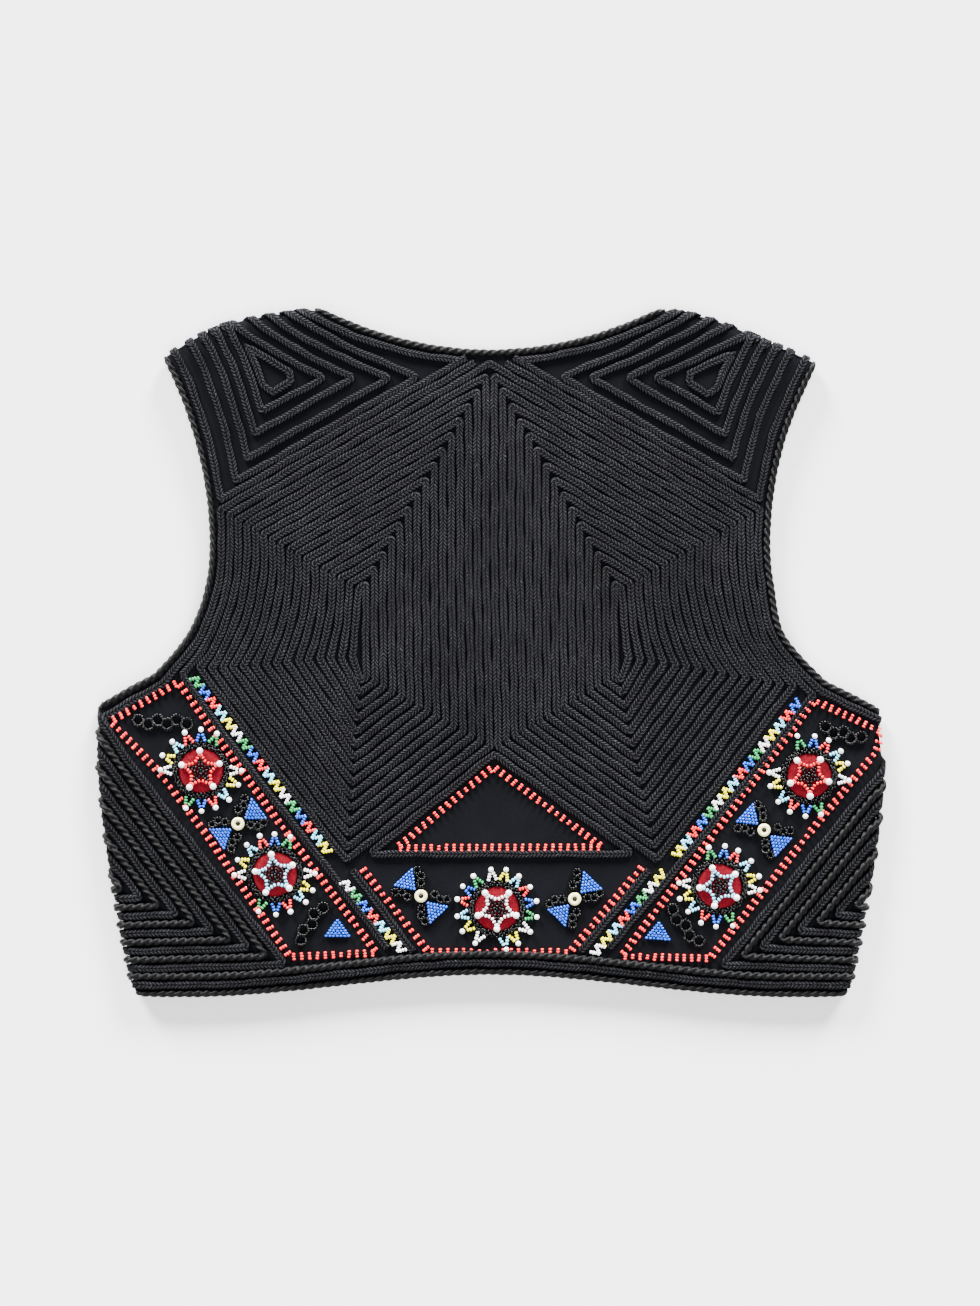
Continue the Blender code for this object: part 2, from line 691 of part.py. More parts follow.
def side_height(relief, u, y):
    """The cords stand up on the outside and are pressed flat where they lie underneath."""
    over = u - (side_edge(y) - FOLD_R)
    flat = ease((over / TURN_R - math.pi / 2) / (math.pi / 2))
    raised = CLOTH + relief.height((u, y))
    return raised + (FRONT_WALL - raised) * flat


def add_side(side, name, finish):
    outline = side_outline(side)
    middles = [chevron(number, side) for number in range(CHEVRONS)]
    lines = [moved(path, offset) for path in middles for offset in (-CORD_TOP_WIDTH / 2, CORD_TOP_WIDTH / 2)]
    lines += [chevron(number - 0.5, side) for number in range(CHEVRONS + 1)]
    fold_end = side_edge(-200.0) - FOLD_R + SIDE_TURN
    hem_middles, hem_lines = hem_cords(90.0, fold_end)
    relief = Relief(middles + hem_middles)
    folds = side_folds()
    inner_points = [p for line in folds for p in line if inside(p, outline, 2.0)]
    inner_points += [p for p in lattice(outline, 30.0, 14.0) if not 212.0 < p[0] < 252.0]
    return wall(name, outline, lines + hem_lines + folds, inner_points,
                lambda u, y: mirrored(place(u, y, side_height(relief, u, y)), side),
                lambda u, y: mirrored(place(u, y, 0.0), side), finish)


def front_armhole(offset):
    """Armhole of a front, cut deeper than the back's between the shoulder and the underarm."""
    path = armhole(offset)
    top_y, low_y = path[0][1], UNDERARM[1]
    out = []
    for before_p, p, after_p in zip(path[:1] + path, path, path[1:] + path[-1:]):
        share = min(max((top_y - 30.0 - p[1]) / (top_y - 30.0 - low_y), 0.0), 1.0)
        depth = FRONT_ARMHOLE_DEPTH * math.sin(share * math.pi) ** 2 + FRONT_INSET * ease(share * 3.0)
        run = Vector((after_p[0] - before_p[0], after_p[1] - before_p[1])).normalized()
        out.append((p[0] + run.y * depth, p[1] - run.x * depth))
    return out


def front_seam(side, gap):
    """Seam between a side panel and the front, underneath, from the armhole down to the hem."""
    arm = front_armhole(EDGE)

    def line_at(y):
        return seam_x(y, side) + gap

    def over_front(y):
        x = line_at(y)
        reach = max((i for i in range(len(arm) - 1) if arm[i][0] <= x or i == 0))
        (x0, y0), (x1, y1) = arm[reach], arm[reach + 1]
        return y - y0 - (y1 - y0) * (x - x0) / (x1 - x0)

    top = halving(over_front, -80.0, -20.0)
    low = halving(lambda y: y - hem_edge(line_at(y)) - EDGE - FRONT_INSET, -200.0, -170.0)
    ys = [top + (low - top) * i / 5 for i in range(6)]
    return [(line_at(y), y) for y in ys]


def front_collar(offset):
    """V neck edge of a front moved into the cloth, from past the shoulder down to the opening."""
    past = before(neck(0.0)[::-1], past_shoulder)
    start, end = past[-1], (FRONT_OPENING / 2, FRONT_NECK_Y)
    path = list(past)
    for i in range(1, 10):
        t = i / 9
        path.append(tuple((1 - t) ** 2 * start[k] + 2 * t * (1 - t) * FRONT_NECK_PULL[k] + t**2 * end[k]
                          for k in (0, 1)))
    path.append((FRONT_OPENING / 2, FRONT_NECK_Y - 12.0))
    return moved(path, offset)


def front_outline(side):
    """Edge of a front: shoulder seam, armhole, side seam, hem and opening, on positive x."""
    turn = math.pi / 2 * TURN_R - SEAM_GAP / 2
    collar = after(front_collar(EDGE), lambda p: past_shoulder(p) - turn)
    arm = after(front_armhole(EDGE), lambda p: past_shoulder(p) - turn)
    reach = SHOULDER_R - FOLD_R + turn
    a0, a1 = (math.atan2(p[1] - SHOULDER_MIDDLE[1], p[0] - SHOULDER_MIDDLE[0]) for p in (collar[0], arm[0]))
    shoulder = arc(SHOULDER_MIDDLE, reach, a0, a1, 5)[1:-1]
    seam = front_seam(side, -SEAM_HALF)
    arm = [p for p in arm if p[0] < seam[0][0] - 1.0]
    hem = hem_line(seam[-1][0], FRONT_OPENING / 2 + EDGE, EDGE + FRONT_INSET)[1:]
    opening = [(hem[-1][0], hem[-1][1] + (collar[-1][1] - hem[-1][1]) * i / 6) for i in range(1, 6)]
    return shoulder + arm + seam + hem + opening + collar[::-1]


def add_front(side, name, finish):
    outline = front_outline(side)
    inner_points = lattice(outline, 42.0, 16.0)
    folds = [[(side * x, y) for x, y in line] for line in fold_lines(side)]
    inner_points += [p for line in folds for p in line[1:-1] if inside(p, outline, 1.5)]
    return wall(name, outline, folds, inner_points,
                lambda x, y: mirrored(place_front(x, y, FRONT_WALL), side),
                lambda x, y: mirrored(place_front(x, y, 0.0), side), finish)


def turn_share(past):
    return min(max(past / TURN_R / math.pi, 0.0), 1.0)


def cord_level(share, from_fold):
    """Height over the inner face and radius of an edge cord: thinner and tighter where it turns."""
    level = ROPE_LIFT + (FOLD_Z - FOLD_GAP - ROPE_LOW_R - ROPE_LIFT) * share
    radius = ROPE_R + (ROPE_LOW_R - ROPE_R) * share - ROPE_PINCH * math.exp(-(from_fold / ROPE_PINCH_RUN) ** 2)
    return level, radius


def spaced(rings):
    """Rings with those left out that lie almost on the one before."""
    kept = [rings[0]]
    for ring in rings[1:]:
        if (ring[0] - kept[-1][0]).length > RING_GAP:
            kept.append(ring)
    return kept


def tube(name, rings, closed, finish):
    """Cord along a list of (middle, radius), its ends capped or joined to each other."""
    rings = spaced(rings)
    middles = [middle for middle, _ in rings]
    count = len(rings)
    normal = Vector((0, 0, 1))
    frames = []
    for i, middle in enumerate(middles):
        ahead = middles[(i + 1) % count] if closed or i + 1 < count else middle
        behind = middles[i - 1] if closed or i > 0 else middle
        run = (ahead - behind).normalized()
        normal = (normal - run * normal.dot(run)).normalized()
        frames.append((normal.copy(), run.cross(normal), run))
    slip = 0.0
    if closed:
        last, run = frames[-1][0], frames[0][2]
        carried = (last - run * last.dot(run)).normalized()
        slip = math.atan2(carried.dot(frames[0][1]), carried.dot(frames[0][0]))
        slip -= round(slip / (math.tau / ROPE_SIDES)) * math.tau / ROPE_SIDES
    points, faces = [], []
    for i, ((middle, radius), (up, across, _)) in enumerate(zip(rings, frames)):
        for j in range(ROPE_SIDES):
            angle = math.tau * (j + 0.2) / ROPE_SIDES - slip * i / count
            points.append(middle + (up * math.cos(angle) + across * math.sin(angle)) * radius)
    shift_last = 0
    if closed:
        gaps = [sum((points[(count - 1) * ROPE_SIDES + j] - points[(j + k) % ROPE_SIDES]).length
                    for j in range(ROPE_SIDES)) for k in range(ROPE_SIDES)]
        shift_last = gaps.index(min(gaps))
    for i in range(count if closed else count - 1):
        ahead = (i + 1) % count
        extra = shift_last if ahead == 0 else 0
        for j in range(ROPE_SIDES):
            k = (j + 1) % ROPE_SIDES
            a, b = i * ROPE_SIDES + j, i * ROPE_SIDES + k
            c, d = ahead * ROPE_SIDES + (k + extra) % ROPE_SIDES, ahead * ROPE_SIDES + (j + extra) % ROPE_SIDES
            faces += [(a, b, c), (a, c, d)]
    if not closed:
        for start in (0, (count - 1) * ROPE_SIDES):
            faces += [(start, start + j, start + j + 1) for j in range(1, ROPE_SIDES - 1)]
    return add_object(name, points, faces, finish)


def side_cord(u, y, from_fold):
    """Ring of an edge cord on the back, or past the side fold on the underside."""
    share = turn_share(u - (side_edge(y) - FOLD_R))
    level, radius = cord_level(share, from_fold)
    return place(u, y, level), radius


def shoulder_turn(path, front_path):
    """Edge cord over the shoulder: the back's part reversed up to the fold, then the front's part."""
    half = math.pi / 2 * TURN_R
    rings = []
    upper = before(path, lambda p: past_shoulder(p) - half)
    lower = after(front_path, lambda p: past_shoulder(p) - half)
    for up, line in ((1.0, upper), (-1.0, lower)):
        for x, y in line:
            past = past_shoulder((x, y))
            if past > 0:
                share = turn_share(past) if up > 0 else 1.0 - turn_share(past)
                level, radius = cord_level(share, half - past)
                rings.append((turned(1.0, x, y, past, FOLD_GAP + level, up), radius))
            elif up > 0:
                level, radius = cord_level(0.0, half - past)
                rings.append((place(x, y, level), radius))
            else:
                level, radius = cord_level(1.0, half - past)
                rings.append((Vector((x, y, FOLD_Z - FOLD_GAP - level)), radius))
    return rings


def with_fold_points(path):
    """Path with points added where it goes round the shoulder fold."""
    out = []
    for a, b in zip(path, path[1:]):
        out.append(a)
        pa, pb = past_shoulder(a), past_shoulder(b)
        if max(pa, pb) > -8.0:
            levels = [-7.0, -3.5] + [TURN_R * math.pi / 2 * i / 3 for i in range(4)]
            shares = sorted((level - pa) / (pb - pa) for level in levels if (level - pa) * (level - pb) < 0)
            out += [(a[0] + (b[0] - a[0]) * s, a[1] + (b[1] - a[1]) * s) for s in shares]
    return out + [path[-1]]


def armhole_rings():
    """Edge cord of an armhole: down the back, round the side fold and up the front."""
    back, front = armhole(ROPE_R), front_armhole(ROPE_R)
    over_shoulder = shoulder_turn(with_fold_points(back[::-1]), with_fold_points(front))
    fold_x = UNDERARM[0] - FOLD_R
    start_y, low_y = over_armhole_y(fold_x, ROPE_R), over_front_y(fold_x, ROPE_R)
    turn = [(u, over_armhole_y(u, ROPE_R)) for u in (fold_x - 8.0, fold_x - 3.5)]
    turn += [(fold_x + SIDE_TURN * i / 6, start_y + (low_y - start_y) * ease(i / 6)) for i in range(7)]
    turn += [(fold_x * 2 + SIDE_TURN - x, over_front_y(x, ROPE_R)) for x in (fold_x - 3.5, fold_x - 8.0)]
    round_side = [side_cord(u, y, u - fold_x - SIDE_TURN / 2) for u, y in turn]
    flat = [(middle, radius) for middle, radius in over_shoulder if middle.x < fold_x - 12.0]
    return flat + round_side[::-1]


def over_armhole_y(x, offset):
    return halving(lambda y: over_armhole((x, y), offset), -90.0, 0.0)


def over_front_y(x, offset):
    arm = front_armhole(offset)
    for (x0, y0), (x1, y1) in zip(arm, arm[1:]):
        if x0 <= x <= x1 and y1 < 0:
            return y0 + (y1 - y0) * (x - x0) / (x1 - x0)
    raise ValueError("the front's armhole doesn't reach that far")


def neck_rings():
    """Edge cord of half of the neck: from the middle of the back over the shoulder to the hem."""
    collar = front_collar(ROPE_R)
    low_y = hem_edge(collar[-1][0]) + FRONT_INSET + 2 * ROPE_LOW_R + SEAM_GAP
    top_y = collar[-1][1]
    opening = [(collar[-1][0], top_y + (low_y - top_y) * i / 6) for i in range(1, 7)]
    return shoulder_turn(with_fold_points(neck(ROPE_R)), with_fold_points(collar + opening))


def hem_rings():
    """Edge cord of half of the hem: from the middle of the back round the side fold to the opening."""
    low_x = side_edge(hem_edge(212.0) + ROPE_R) - FOLD_R
    half = SIDE_TURN / 2
    rings = [side_cord(x, y, low_x + half - x) for x, y in hem_line(0.0, low_x - 8.0, ROPE_R)]
    base = hem_edge(low_x) + ROPE_R
    for i in range(7):
        y = base + FRONT_INSET * ease(i / 6)
        rings.append(side_cord(side_edge(y) - FOLD_R + SIDE_TURN * i / 6, y, SIDE_TURN * i / 6 - half))
    high_x = side_edge(base + FRONT_INSET) - FOLD_R
    for x, y in hem_line(high_x - 8.0, FRONT_OPENING / 2, ROPE_R + FRONT_INSET):
        rings.append(side_cord(under_u(x, y), y, high_x + half - x))
    return rings


def half_circle_join(rings):
    """Both halves of an edge cord that is alike on the left and the right."""
    left = [(mirrored(middle, -1), radius) for middle, radius in reversed(rings[1:])]
    return left + rings


def add_disc(name, middle, finish):
    """Felt disc with a rounded rim, on the back's cloth."""
    points, faces = [], []
    profile = [(DISC_R - 0.3, 0.0), (DISC_R, 0.35), (DISC_R - 0.5, DISC_THICK)]
    base = place(*before_settling(*middle), CLOTH + SEAM_GAP)
    for radius, height in profile:
        for j in range(DISC_SIDES):
            angle = math.tau * j / DISC_SIDES
            points.append(base + Vector((radius * math.cos(angle), radius * math.sin(angle), height)))
    for ring in range(2):
        for j in range(DISC_SIDES):
            k = (j + 1) % DISC_SIDES
            a, b = ring * DISC_SIDES + j, ring * DISC_SIDES + k
            faces += [(a, b, b + DISC_SIDES), (a, b + DISC_SIDES, a + DISC_SIDES)]
    faces.append(tuple(range(DISC_SIDES))[::-1])
    faces.append(tuple(range(2 * DISC_SIDES, 3 * DISC_SIDES)))
    return add_object(name, points, faces, finish)


def mirrored(point, side):
    return Vector((point.x * side, point.y, point.z))


def main():
    for old in list(bpy.data.objects):
        bpy.data.objects.remove(old)
    cord = material("braided_cord", COLOURS["cord"], 0.75)
    cloth = material("wool_cloth", COLOURS["cloth"], 0.9)
    felt = material("red_felt", COLOURS["felt"], 0.9)
    edge = material("twisted_cord", COLOURS["edge"], 0.5)
    add_back(cord)
    for side, word in ((-1, "left"), (1, "right")):
        add_side(side, f"side_{word}", cord)
        add_front(side, f"front_{word}", cloth)
        armhole_cord = [(mirrored(middle, side), radius) for middle, radius in armhole_rings()]
        tube(f"armhole_edging_{word}", armhole_cord, True, edge)
    tube("neck_edging", half_circle_join(neck_rings()), False, edge)
    tube("hem_edging", half_circle_join(hem_rings()), False, edge)
    for name, middle in DISCS.items():
        add_disc(f"disc_{name}", middle, felt)


main()
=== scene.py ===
"""Dresses the corded and beaded folk vest with cloth, braid, twisted cord, felt and beads."""

import math

import bpy
import numpy as np
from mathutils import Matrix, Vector
from mathutils.geometry import delaunay_2d_cdt

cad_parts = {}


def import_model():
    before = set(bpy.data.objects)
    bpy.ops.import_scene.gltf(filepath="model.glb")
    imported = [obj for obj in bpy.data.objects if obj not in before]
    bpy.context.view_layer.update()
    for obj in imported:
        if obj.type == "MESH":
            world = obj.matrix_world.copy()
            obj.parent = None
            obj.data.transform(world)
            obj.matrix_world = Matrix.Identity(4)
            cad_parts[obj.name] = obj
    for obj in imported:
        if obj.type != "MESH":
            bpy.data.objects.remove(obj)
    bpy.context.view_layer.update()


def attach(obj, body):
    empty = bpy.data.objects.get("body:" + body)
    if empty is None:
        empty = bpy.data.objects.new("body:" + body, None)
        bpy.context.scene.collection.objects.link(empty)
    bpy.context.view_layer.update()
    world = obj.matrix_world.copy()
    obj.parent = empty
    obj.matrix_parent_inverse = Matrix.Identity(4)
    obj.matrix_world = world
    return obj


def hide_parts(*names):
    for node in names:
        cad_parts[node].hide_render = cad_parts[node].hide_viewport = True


bl_info = {
    "name": "Folk vest",
    "version": (1, 0, 0),
    "blender": (4, 5, 0),
    "location": "3D View > Sidebar > Vest",
    "description": "Cloth, sewn cords and beads of a folk vest that lies back up",
    "category": "Object",
}

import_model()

MM = 0.001
CENTRE = np.array([0.81, 0.47, 0.0])

# Outline and folds of the vest, in millimetres, as in the part
UNDERARM = (236.0, -33.5)
SIDE_LENGTH = 174.0
SIDE_TAPER = 23.4
HEM_MIDDLE = -193.4
HEM_DROP = 13.4
HEM_DROP_RUN = 180.0
ARMHOLE_NARROW = (168.6, 64.2)
ARMHOLE_UPPER_R = 230.0
ARMHOLE_LOWER_R = 114.0
UNDERARM_SLOPE = 0.5035
PAST_UNDERARM = 14.0
NECK_R = 216.0
NECK_BOTTOM = 182.7
SHOULDER_NECK_END = (102.5, 208.5)
SHOULDER_TIP = (196.5, 177.8)
SHOULDER_RISE = 6.0
SHOULDER_LOW = 100.0
PATTERN_SHIFT = 8.4
PATTERN_SHIFT_TOP = 7.2
PATTERN_SHIFT_RUN = 180.0
CLOTH = 1.5
FOLD_GAP = 1.2
FOLD_Z = 4.2
FOLD_R = 5.0
TURN_R = 2.7
SIDE_TURN = math.pi * TURN_R
HALF_TURN = math.pi / 2 * TURN_R
TABLE = 0.05
NECK_DIP = 1.6
NECK_DIP_SPAN = (60.0, 36.0)
EDGE = 5.1
CLOTH_EDGE = 3.6
ROPE_R = 2.4
ROPE_LOW_R = 2.2
ROPE_PINCH = 0.75
ROPE_PINCH_RUN = 7.0
ROPE_LIFT = 1.5
FRONT_INSET = 3.5
FRONT_OPENING = 8.0
FRONT_NECK_Y = 62.0
FRONT_NECK_PULL = (84.0, 118.0)
FRONT_ARMHOLE_DEPTH = 9.0

SIDE_MESH_STEP = 4.5
# A front's outer face lies this far under its inner one, less where it turns to the back
FRONT_TOP = {"flat": 2.9, "less": 1.4, "run": 4.2}
# How far places have moved, because the two sides don't lie alike
SETTLED = {"low_left": -1.6, "low_right": 3.4, "armhole_right": -4.4, "shoulder": 3.6, "underarm_left": 4.2}

# Layout of the sewn cords
WEB_RINGS = 15
WEB_SPAN = 15.4
WEB_PITCH = 5.1
YOKE_AXIS_Y = 185.4
YOKE_FALL = 0.58
CORE = {"top": (79.2, 33.8), "arm_top": (74.4, 36.0), "arm_low": (76.8, -1.8),
        "low": (76.8, -9.6), "axis": (79.2, -12.0)}
BANDS = {-1: {"cos": 0.814, "sin": 0.581, "origin": 16.73},
         1: {"cos": 0.757, "sin": 0.653, "origin": 19.8}}
WEB_BAND_EDGE = 133.8
PANEL_CORD = 131.7
BAND_CORD = 143.2
SIDE_SLANTS = {-1: {"cos": 0.795, "sin": 0.606, "first": 210.7},
               1: {"cos": 0.778, "sin": 0.628, "first": 225.2}}
CHEVRON_PITCH = 5.5
CHEVRON_FIRST_Y = -187.0
CHEVRON_PITCH_Y = 5.0
CHEVRON_FALL = 2.7
CHEVRONS = 11
SIDE_SEAM_IN = 3.7
SIDE_SEAM_FROM_FOLD = 0.8
PEAK_COS, PEAK_SIN, PEAK_ORIGIN = 0.605, 0.797, 44.5
WEB_PEAK_EDGE = 1.2
PEAK_CORD = 3.8
PEAK_BASE_Y = -120.6
HEM_ROWS = {"braid": 7.7, "twisted": 12.8}
ROW_BRAID_WIDER = 0.2
ROW_TWIST = {"lift": 1.5, "radius": 2.5}
HEM_TWIST = {"lift": 1.5, "radius": 2.55}
SHOULDER_CORDS = [
    {"arm": 19.2, "corner_y": 102.9, "rise": [(43.2, 165.5), (80.0, 181.0), (104.0, 193.8), (126.0, 207.0)]},
    {"arm": 28.2, "corner_y": 116.6, "rise": [(60.5, 165.0), (95.0, 180.0), (122.0, 194.5), (137.0, 205.0)]},
    {"arm": 36.0, "corner_y": 131.2, "rise": [(82.0, 165.0), (110.0, 178.5), (137.0, 194.5), (151.0, 204.0)]},
    {"arm": 43.8, "corner_y": 144.4, "rise": [(99.5, 165.0), (125.0, 177.5), (150.0, 191.5), (164.0, 201.0)]},
]
SHOULDER_HEART = [(146.0, 181.5), (120.0, 168.5), (119.5, 162.5), (130.5, 156.0), (136.5, 160.0),
                  (140.0, 170.0)]
ARM_CORD = 8.4
NECK_CORD = 7.8
NECK_CORD_START = 17.0

# Bead work: places on the back in millimetres, angles in degrees
BORDERS = {
    "band_left": [(-227.5, -41.0), (-187.0, -17.5), (-131.0, -95.5), (-68.0, -180.0), (-120.0, -182.2),
                  (-170.0, -109.0), (-199.0, -71.0), (-227.5, -41.0)],
    "band_right": [(194.5, -28.5), (235.0, -47.5), (231.5, -59.5), (200.0, -97.5), (132.0, -183.2),
                   (79.0, -182.0), (131.0, -113.0), (194.5, -28.5)],
    "peak": [(1.8, -68.4), (67.4, -116.6), (-55.8, -117.0), (1.8, -68.4)],
    "hem_panel": [(-77.4, -128.4), (-37.0, -179.4), (48.0, -179.4), (92.0, -127.4)],
}
ZIGZAGS = [
    {"start": (-178.2, -14.4), "end": (-96.6, -120.0), "groups": 17, "first": 3},
    {"start": (185.4, -28.8), "end": (111.0, -121.8), "groups": 16, "first": 4},
    {"start": (-88.2, -136.8), "end": (-52.0, -179.4), "groups": 7, "first": 2},
    {"start": (104.4, -131.4), "end": (62.0, -181.0), "groups": 8, "first": 1},
]
ZIGZAG_COLOURS = ["light_blue", "yellow", "white", "green", "blue", "red"]
SPLIT_CROWN = 2 * "WYLRBG--"
STARS = [
    {"disc": "left_upper", "at": (-173.4, -70.5), "star": "red", "turn": 20.0,
     "first": 180.0, "way": -1, "crown": SPLIT_CROWN},
    {"disc": "left_lower", "at": (-129.0, -132.6), "star": "light_blue", "turn": 28.0,
     "first": 180.0, "way": -1, "crown": SPLIT_CROWN},
    {"disc": "right_upper", "at": (191.4, -73.8), "star": "red", "turn": 56.0,
     "first": 174.0, "way": 1, "crown": SPLIT_CROWN},
    {"disc": "right_lower", "at": (137.6, -140.0), "star": "light_blue", "turn": 39.0,
     "first": 174.0, "way": 1, "crown": SPLIT_CROWN},
    {"disc": "middle", "at": (4.2, -153.6), "star": "white", "turn": 54.0,
     "first": 191.0, "way": -1, "crown": "LRBGWYLRBGWYL-WY"},
]
CROWN_COLOURS = {"W": "white", "Y": "yellow", "L": "light_blue", "R": "red", "B": "blue", "G": "green"}
SEEDS = {"web": 40, "braids": 50, "middle": 61, "rows": 70, "armhole": 80, "hem_row": 91, "neck": 92,
         "hem": 93, "felt": 100, "stitches": 7, "borders": 200, "zigzags": 210, "stars": 211, "pearls": 212,
         "figures": 213}
BRAID_PROFILE = [(-0.92, -0.1), (-1.0, 0.4), (-0.9, 0.8), (-0.52, 1.0), (0.0, 0.9),
                 (0.52, 1.0), (0.9, 0.8), (1.0, 0.4), (0.92, -0.1)]
STRAND_PROFILE = [1.0, 0.92, 0.64, 0.64, 0.92]
BEAD_LENGTH = 0.58
BEAD_BEVEL = 0.17
DASH_PITCH = 4.6
ZIGZAG_REACH = 2.6
FELT_PROFILE = [(0.0, 1.55), (12.9, 1.55), (13.4, 1.9), (13.2, 2.5), (12.3, 2.85), (8.0, 3.0), (4.0, 3.0),
                (0.0, 3.0)]
FELT_TOP = 1.35
FELT_STEPS = 56
STITCHED_UP = 0.3
# Stars: radii from the disc's middle, widths of pearls, and for each fill its radius and turns
STAR_TIP, STAR_NOTCH, STAR_MIDDLE = 10.4, 5.8, 1.8
STAR_FILL = ((7.2, (0.0,)), (5.4, (-0.16, 0.16)), (3.6, (-0.33, 0.33)))
STAR_PEARL = {"radius": 12.0, "width": 4.0}
# Each scalloped ring's radius, wave, beads and phase
SCALLOPS = ((15.6, 1.35, 70, 0.0), (15.2, -1.35, 66, 0.2))
CROWN_BASE, CROWN_TIP = 17.4, 22.3
CROWN_PEARL = {"radius": 24.3, "width": 3.3}
CHAIN_LOOP, BOW_LOOP = 3.3, 2.1
PALE_RING = {"radius": 2.6, "wire": 1.3}
BOWS = [
    {"at": (-151.2, -102.4), "turn": 36.0},
    {"at": (164.4, -106.2), "turn": 138.0},
    {"at": (-41.4, -145.8), "turn": 133.0},
    {"at": (50.8, -147.6), "turn": 46.0},
]
TRIANGLES = [
    {"tip": (-91.5, -159.4), "turn": -90.0},
    {"tip": (101.4, -161.0), "turn": -94.0},
]
CHAINS = [
    {"start": (-214.0, -41.6), "end": (-179.0, -41.6)},
    {"start": (-99.5, -150.0), "end": (-116.0, -174.0)},
    {"start": (198.4, -45.0), "end": (225.0, -52.6)},
    {"start": (107.0, -152.6), "end": (126.4, -176.0)},
]

# Stage: lengths in metres, each light's azimuth, height and width in degrees, and its strength
FLOOR_Z = -0.0002
CAMERA_Z = 1.858
SKY = 0.5
LIGHTS = (("left_raking_light", 120.0, 15.5, 20.0, 20.0), ("right_raking_light", 64.0, 15.5, 20.0, 19.0),
          ("front_fill_light", -80.0, 55.0, 60.0, 5.5))


def colour(code):
    """Linear colour, with alpha, of a colour written as on a screen."""
    parts = [int(code[i:i + 2], 16) / 255 for i in (1, 3, 5)]
    return tuple(p / 12.92 if p <= 0.04045 else ((p + 0.055) / 1.055) ** 2.4 for p in parts) + (1.0,)


def size_setting(name, description, millimetres, least=0.0):
    """Setting for a length, whose default is given in millimetres."""
    return bpy.props.FloatProperty(name=name, description=description, default=millimetres * MM,
                                   min=least, unit="LENGTH")


def colour_setting(name, description, code):
    """Setting for a colour, whose default is given as on a screen."""
    return bpy.props.FloatVectorProperty(name=name, description=description, subtype="COLOR", size=3,
                                         default=colour(code)[:3])


class VestCordSettings(bpy.types.PropertyGroup):
    braid_width: size_setting("Braid width", "Width of the flat braid", 4.95)
    braid_height: size_setting("Braid height", "How far the braid stands over the cloth", 2.1)
    row_braid_height: size_setting(
        "Row braid height", "How far the braid stands over the cloth beside twisted cord", 2.9)
    strand_pitch: size_setting(
        "Strand pitch", "Length from one strand of the twisted cord to the next", 5.2, least=0.001)
    braid_colour: colour_setting("Braid", "Colour of the braid's threads", "#27272C")
    twist_colour: colour_setting("Twisted cord", "Colour of the twisted cord", "#09090B")


class VestClothSettings(bpy.types.PropertyGroup):
    thickness: size_setting("Cloth thickness", "Thickness of the wool cloth", 1.4)
    mesh_step: size_setting("Mesh step", "Distance between points of the cloth's mesh", 7.0, least=0.002)
    cloth_colour: colour_setting("Wool cloth", "Colour of the wool cloth", "#0A0B0F")
    felt_colour: colour_setting("Felt", "Colour of the felt discs", "#760C1C")


class VestBeadSettings(bpy.types.PropertyGroup):
    bead_width: size_setting("Bead width", "Width of a seed bead across its thread", 2.3)
    bead_pitch: size_setting("Bead pitch", "Length of thread that one bead takes", 1.55, least=0.0005)
    red: colour_setting("Red", "Colour of the red glass", "#E2282C")
    blue: colour_setting("Blue", "Colour of the blue glass", "#1D4EC0")
    light_blue: colour_setting("Light blue", "Colour of the light blue glass", "#8CE2FF")
    yellow: colour_setting("Yellow", "Colour of the yellow glass", "#FFF200")
    green: colour_setting("Green", "Colour of the green glass", "#2A8E4E")
    white: colour_setting("White", "Colour of the white glass", "#FFFFFF")
    black: colour_setting("Black", "Colour of the black glass", "#020203")
    cream: colour_setting("Cream", "Colour of the pale rings", "#FFF6B4")


def ease(share):
    """Smooth step from 0 to 1."""
    share = np.clip(share, 0.0, 1.0)
    return share * share * (3.0 - 2.0 * share)


def shift(y):
    """How far the ornament's axis stands beside the vest's own at a height."""
    return PATTERN_SHIFT * ease((PATTERN_SHIFT_TOP - y) / PATTERN_SHIFT_RUN)


def laid(path, side):
    return [(side * x + shift(y), y) for x, y in path]


def side_edge(y):
    fall = np.clip((UNDERARM[1] - y) / SIDE_LENGTH, 0.0, 1.1)
    return UNDERARM[0] - SIDE_TAPER * fall**1.7


def fold_at(y):
    """Where the side fold begins across."""
    return side_edge(y) - FOLD_R


def hem_edge(x):
    return HEM_MIDDLE - HEM_DROP * ease(abs(x) / HEM_DROP_RUN)


def hem_line(start, end, offset, step=6.0):
    count = max(2, round(abs(end - start) / step) + 1)
    return [(x, hem_edge(x) + offset) for x in np.linspace(start, end, count)]


def hem_row(kind):
    """Row along the hem, round both side folds."""
    end = fold_at(-200.0) + SIDE_TURN
    return hem_line(-end, end, HEM_ROWS[kind])


def band(p, side):
    """Distance of a place from the line that a bead band runs along."""
    slant = BANDS[side]
    return slant["cos"] * p[0] - slant["sin"] * p[1] - slant["origin"]


def band_x(distance, y, side):
    """Place across, at a height, of a line beside the bead band."""
    slant = BANDS[side]
    return (distance + slant["origin"] + slant["sin"] * y) / slant["cos"]


def band_meets_peak(band_distance, peak_distance, side):
    slant = BANDS[side]
    a, b = band_distance + slant["origin"], peak_distance + PEAK_ORIGIN
    cross = slant["cos"] * PEAK_SIN + slant["sin"] * PEAK_COS
    return (PEAK_SIN * a - slant["sin"] * b) / cross, -(slant["cos"] * b + PEAK_COS * a) / cross


def peak_x(distance, y):
    return (-PEAK_SIN * y - PEAK_ORIGIN - distance) / PEAK_COS


def yoke(p):
    """Distance of a place below the yoke's line."""
    return (YOKE_AXIS_Y - YOKE_FALL * p[0] - p[1]) / math.hypot(1.0, YOKE_FALL)


def yoke_y(distance, x):
    return YOKE_AXIS_Y - YOKE_FALL * x - distance * math.hypot(1.0, YOKE_FALL)


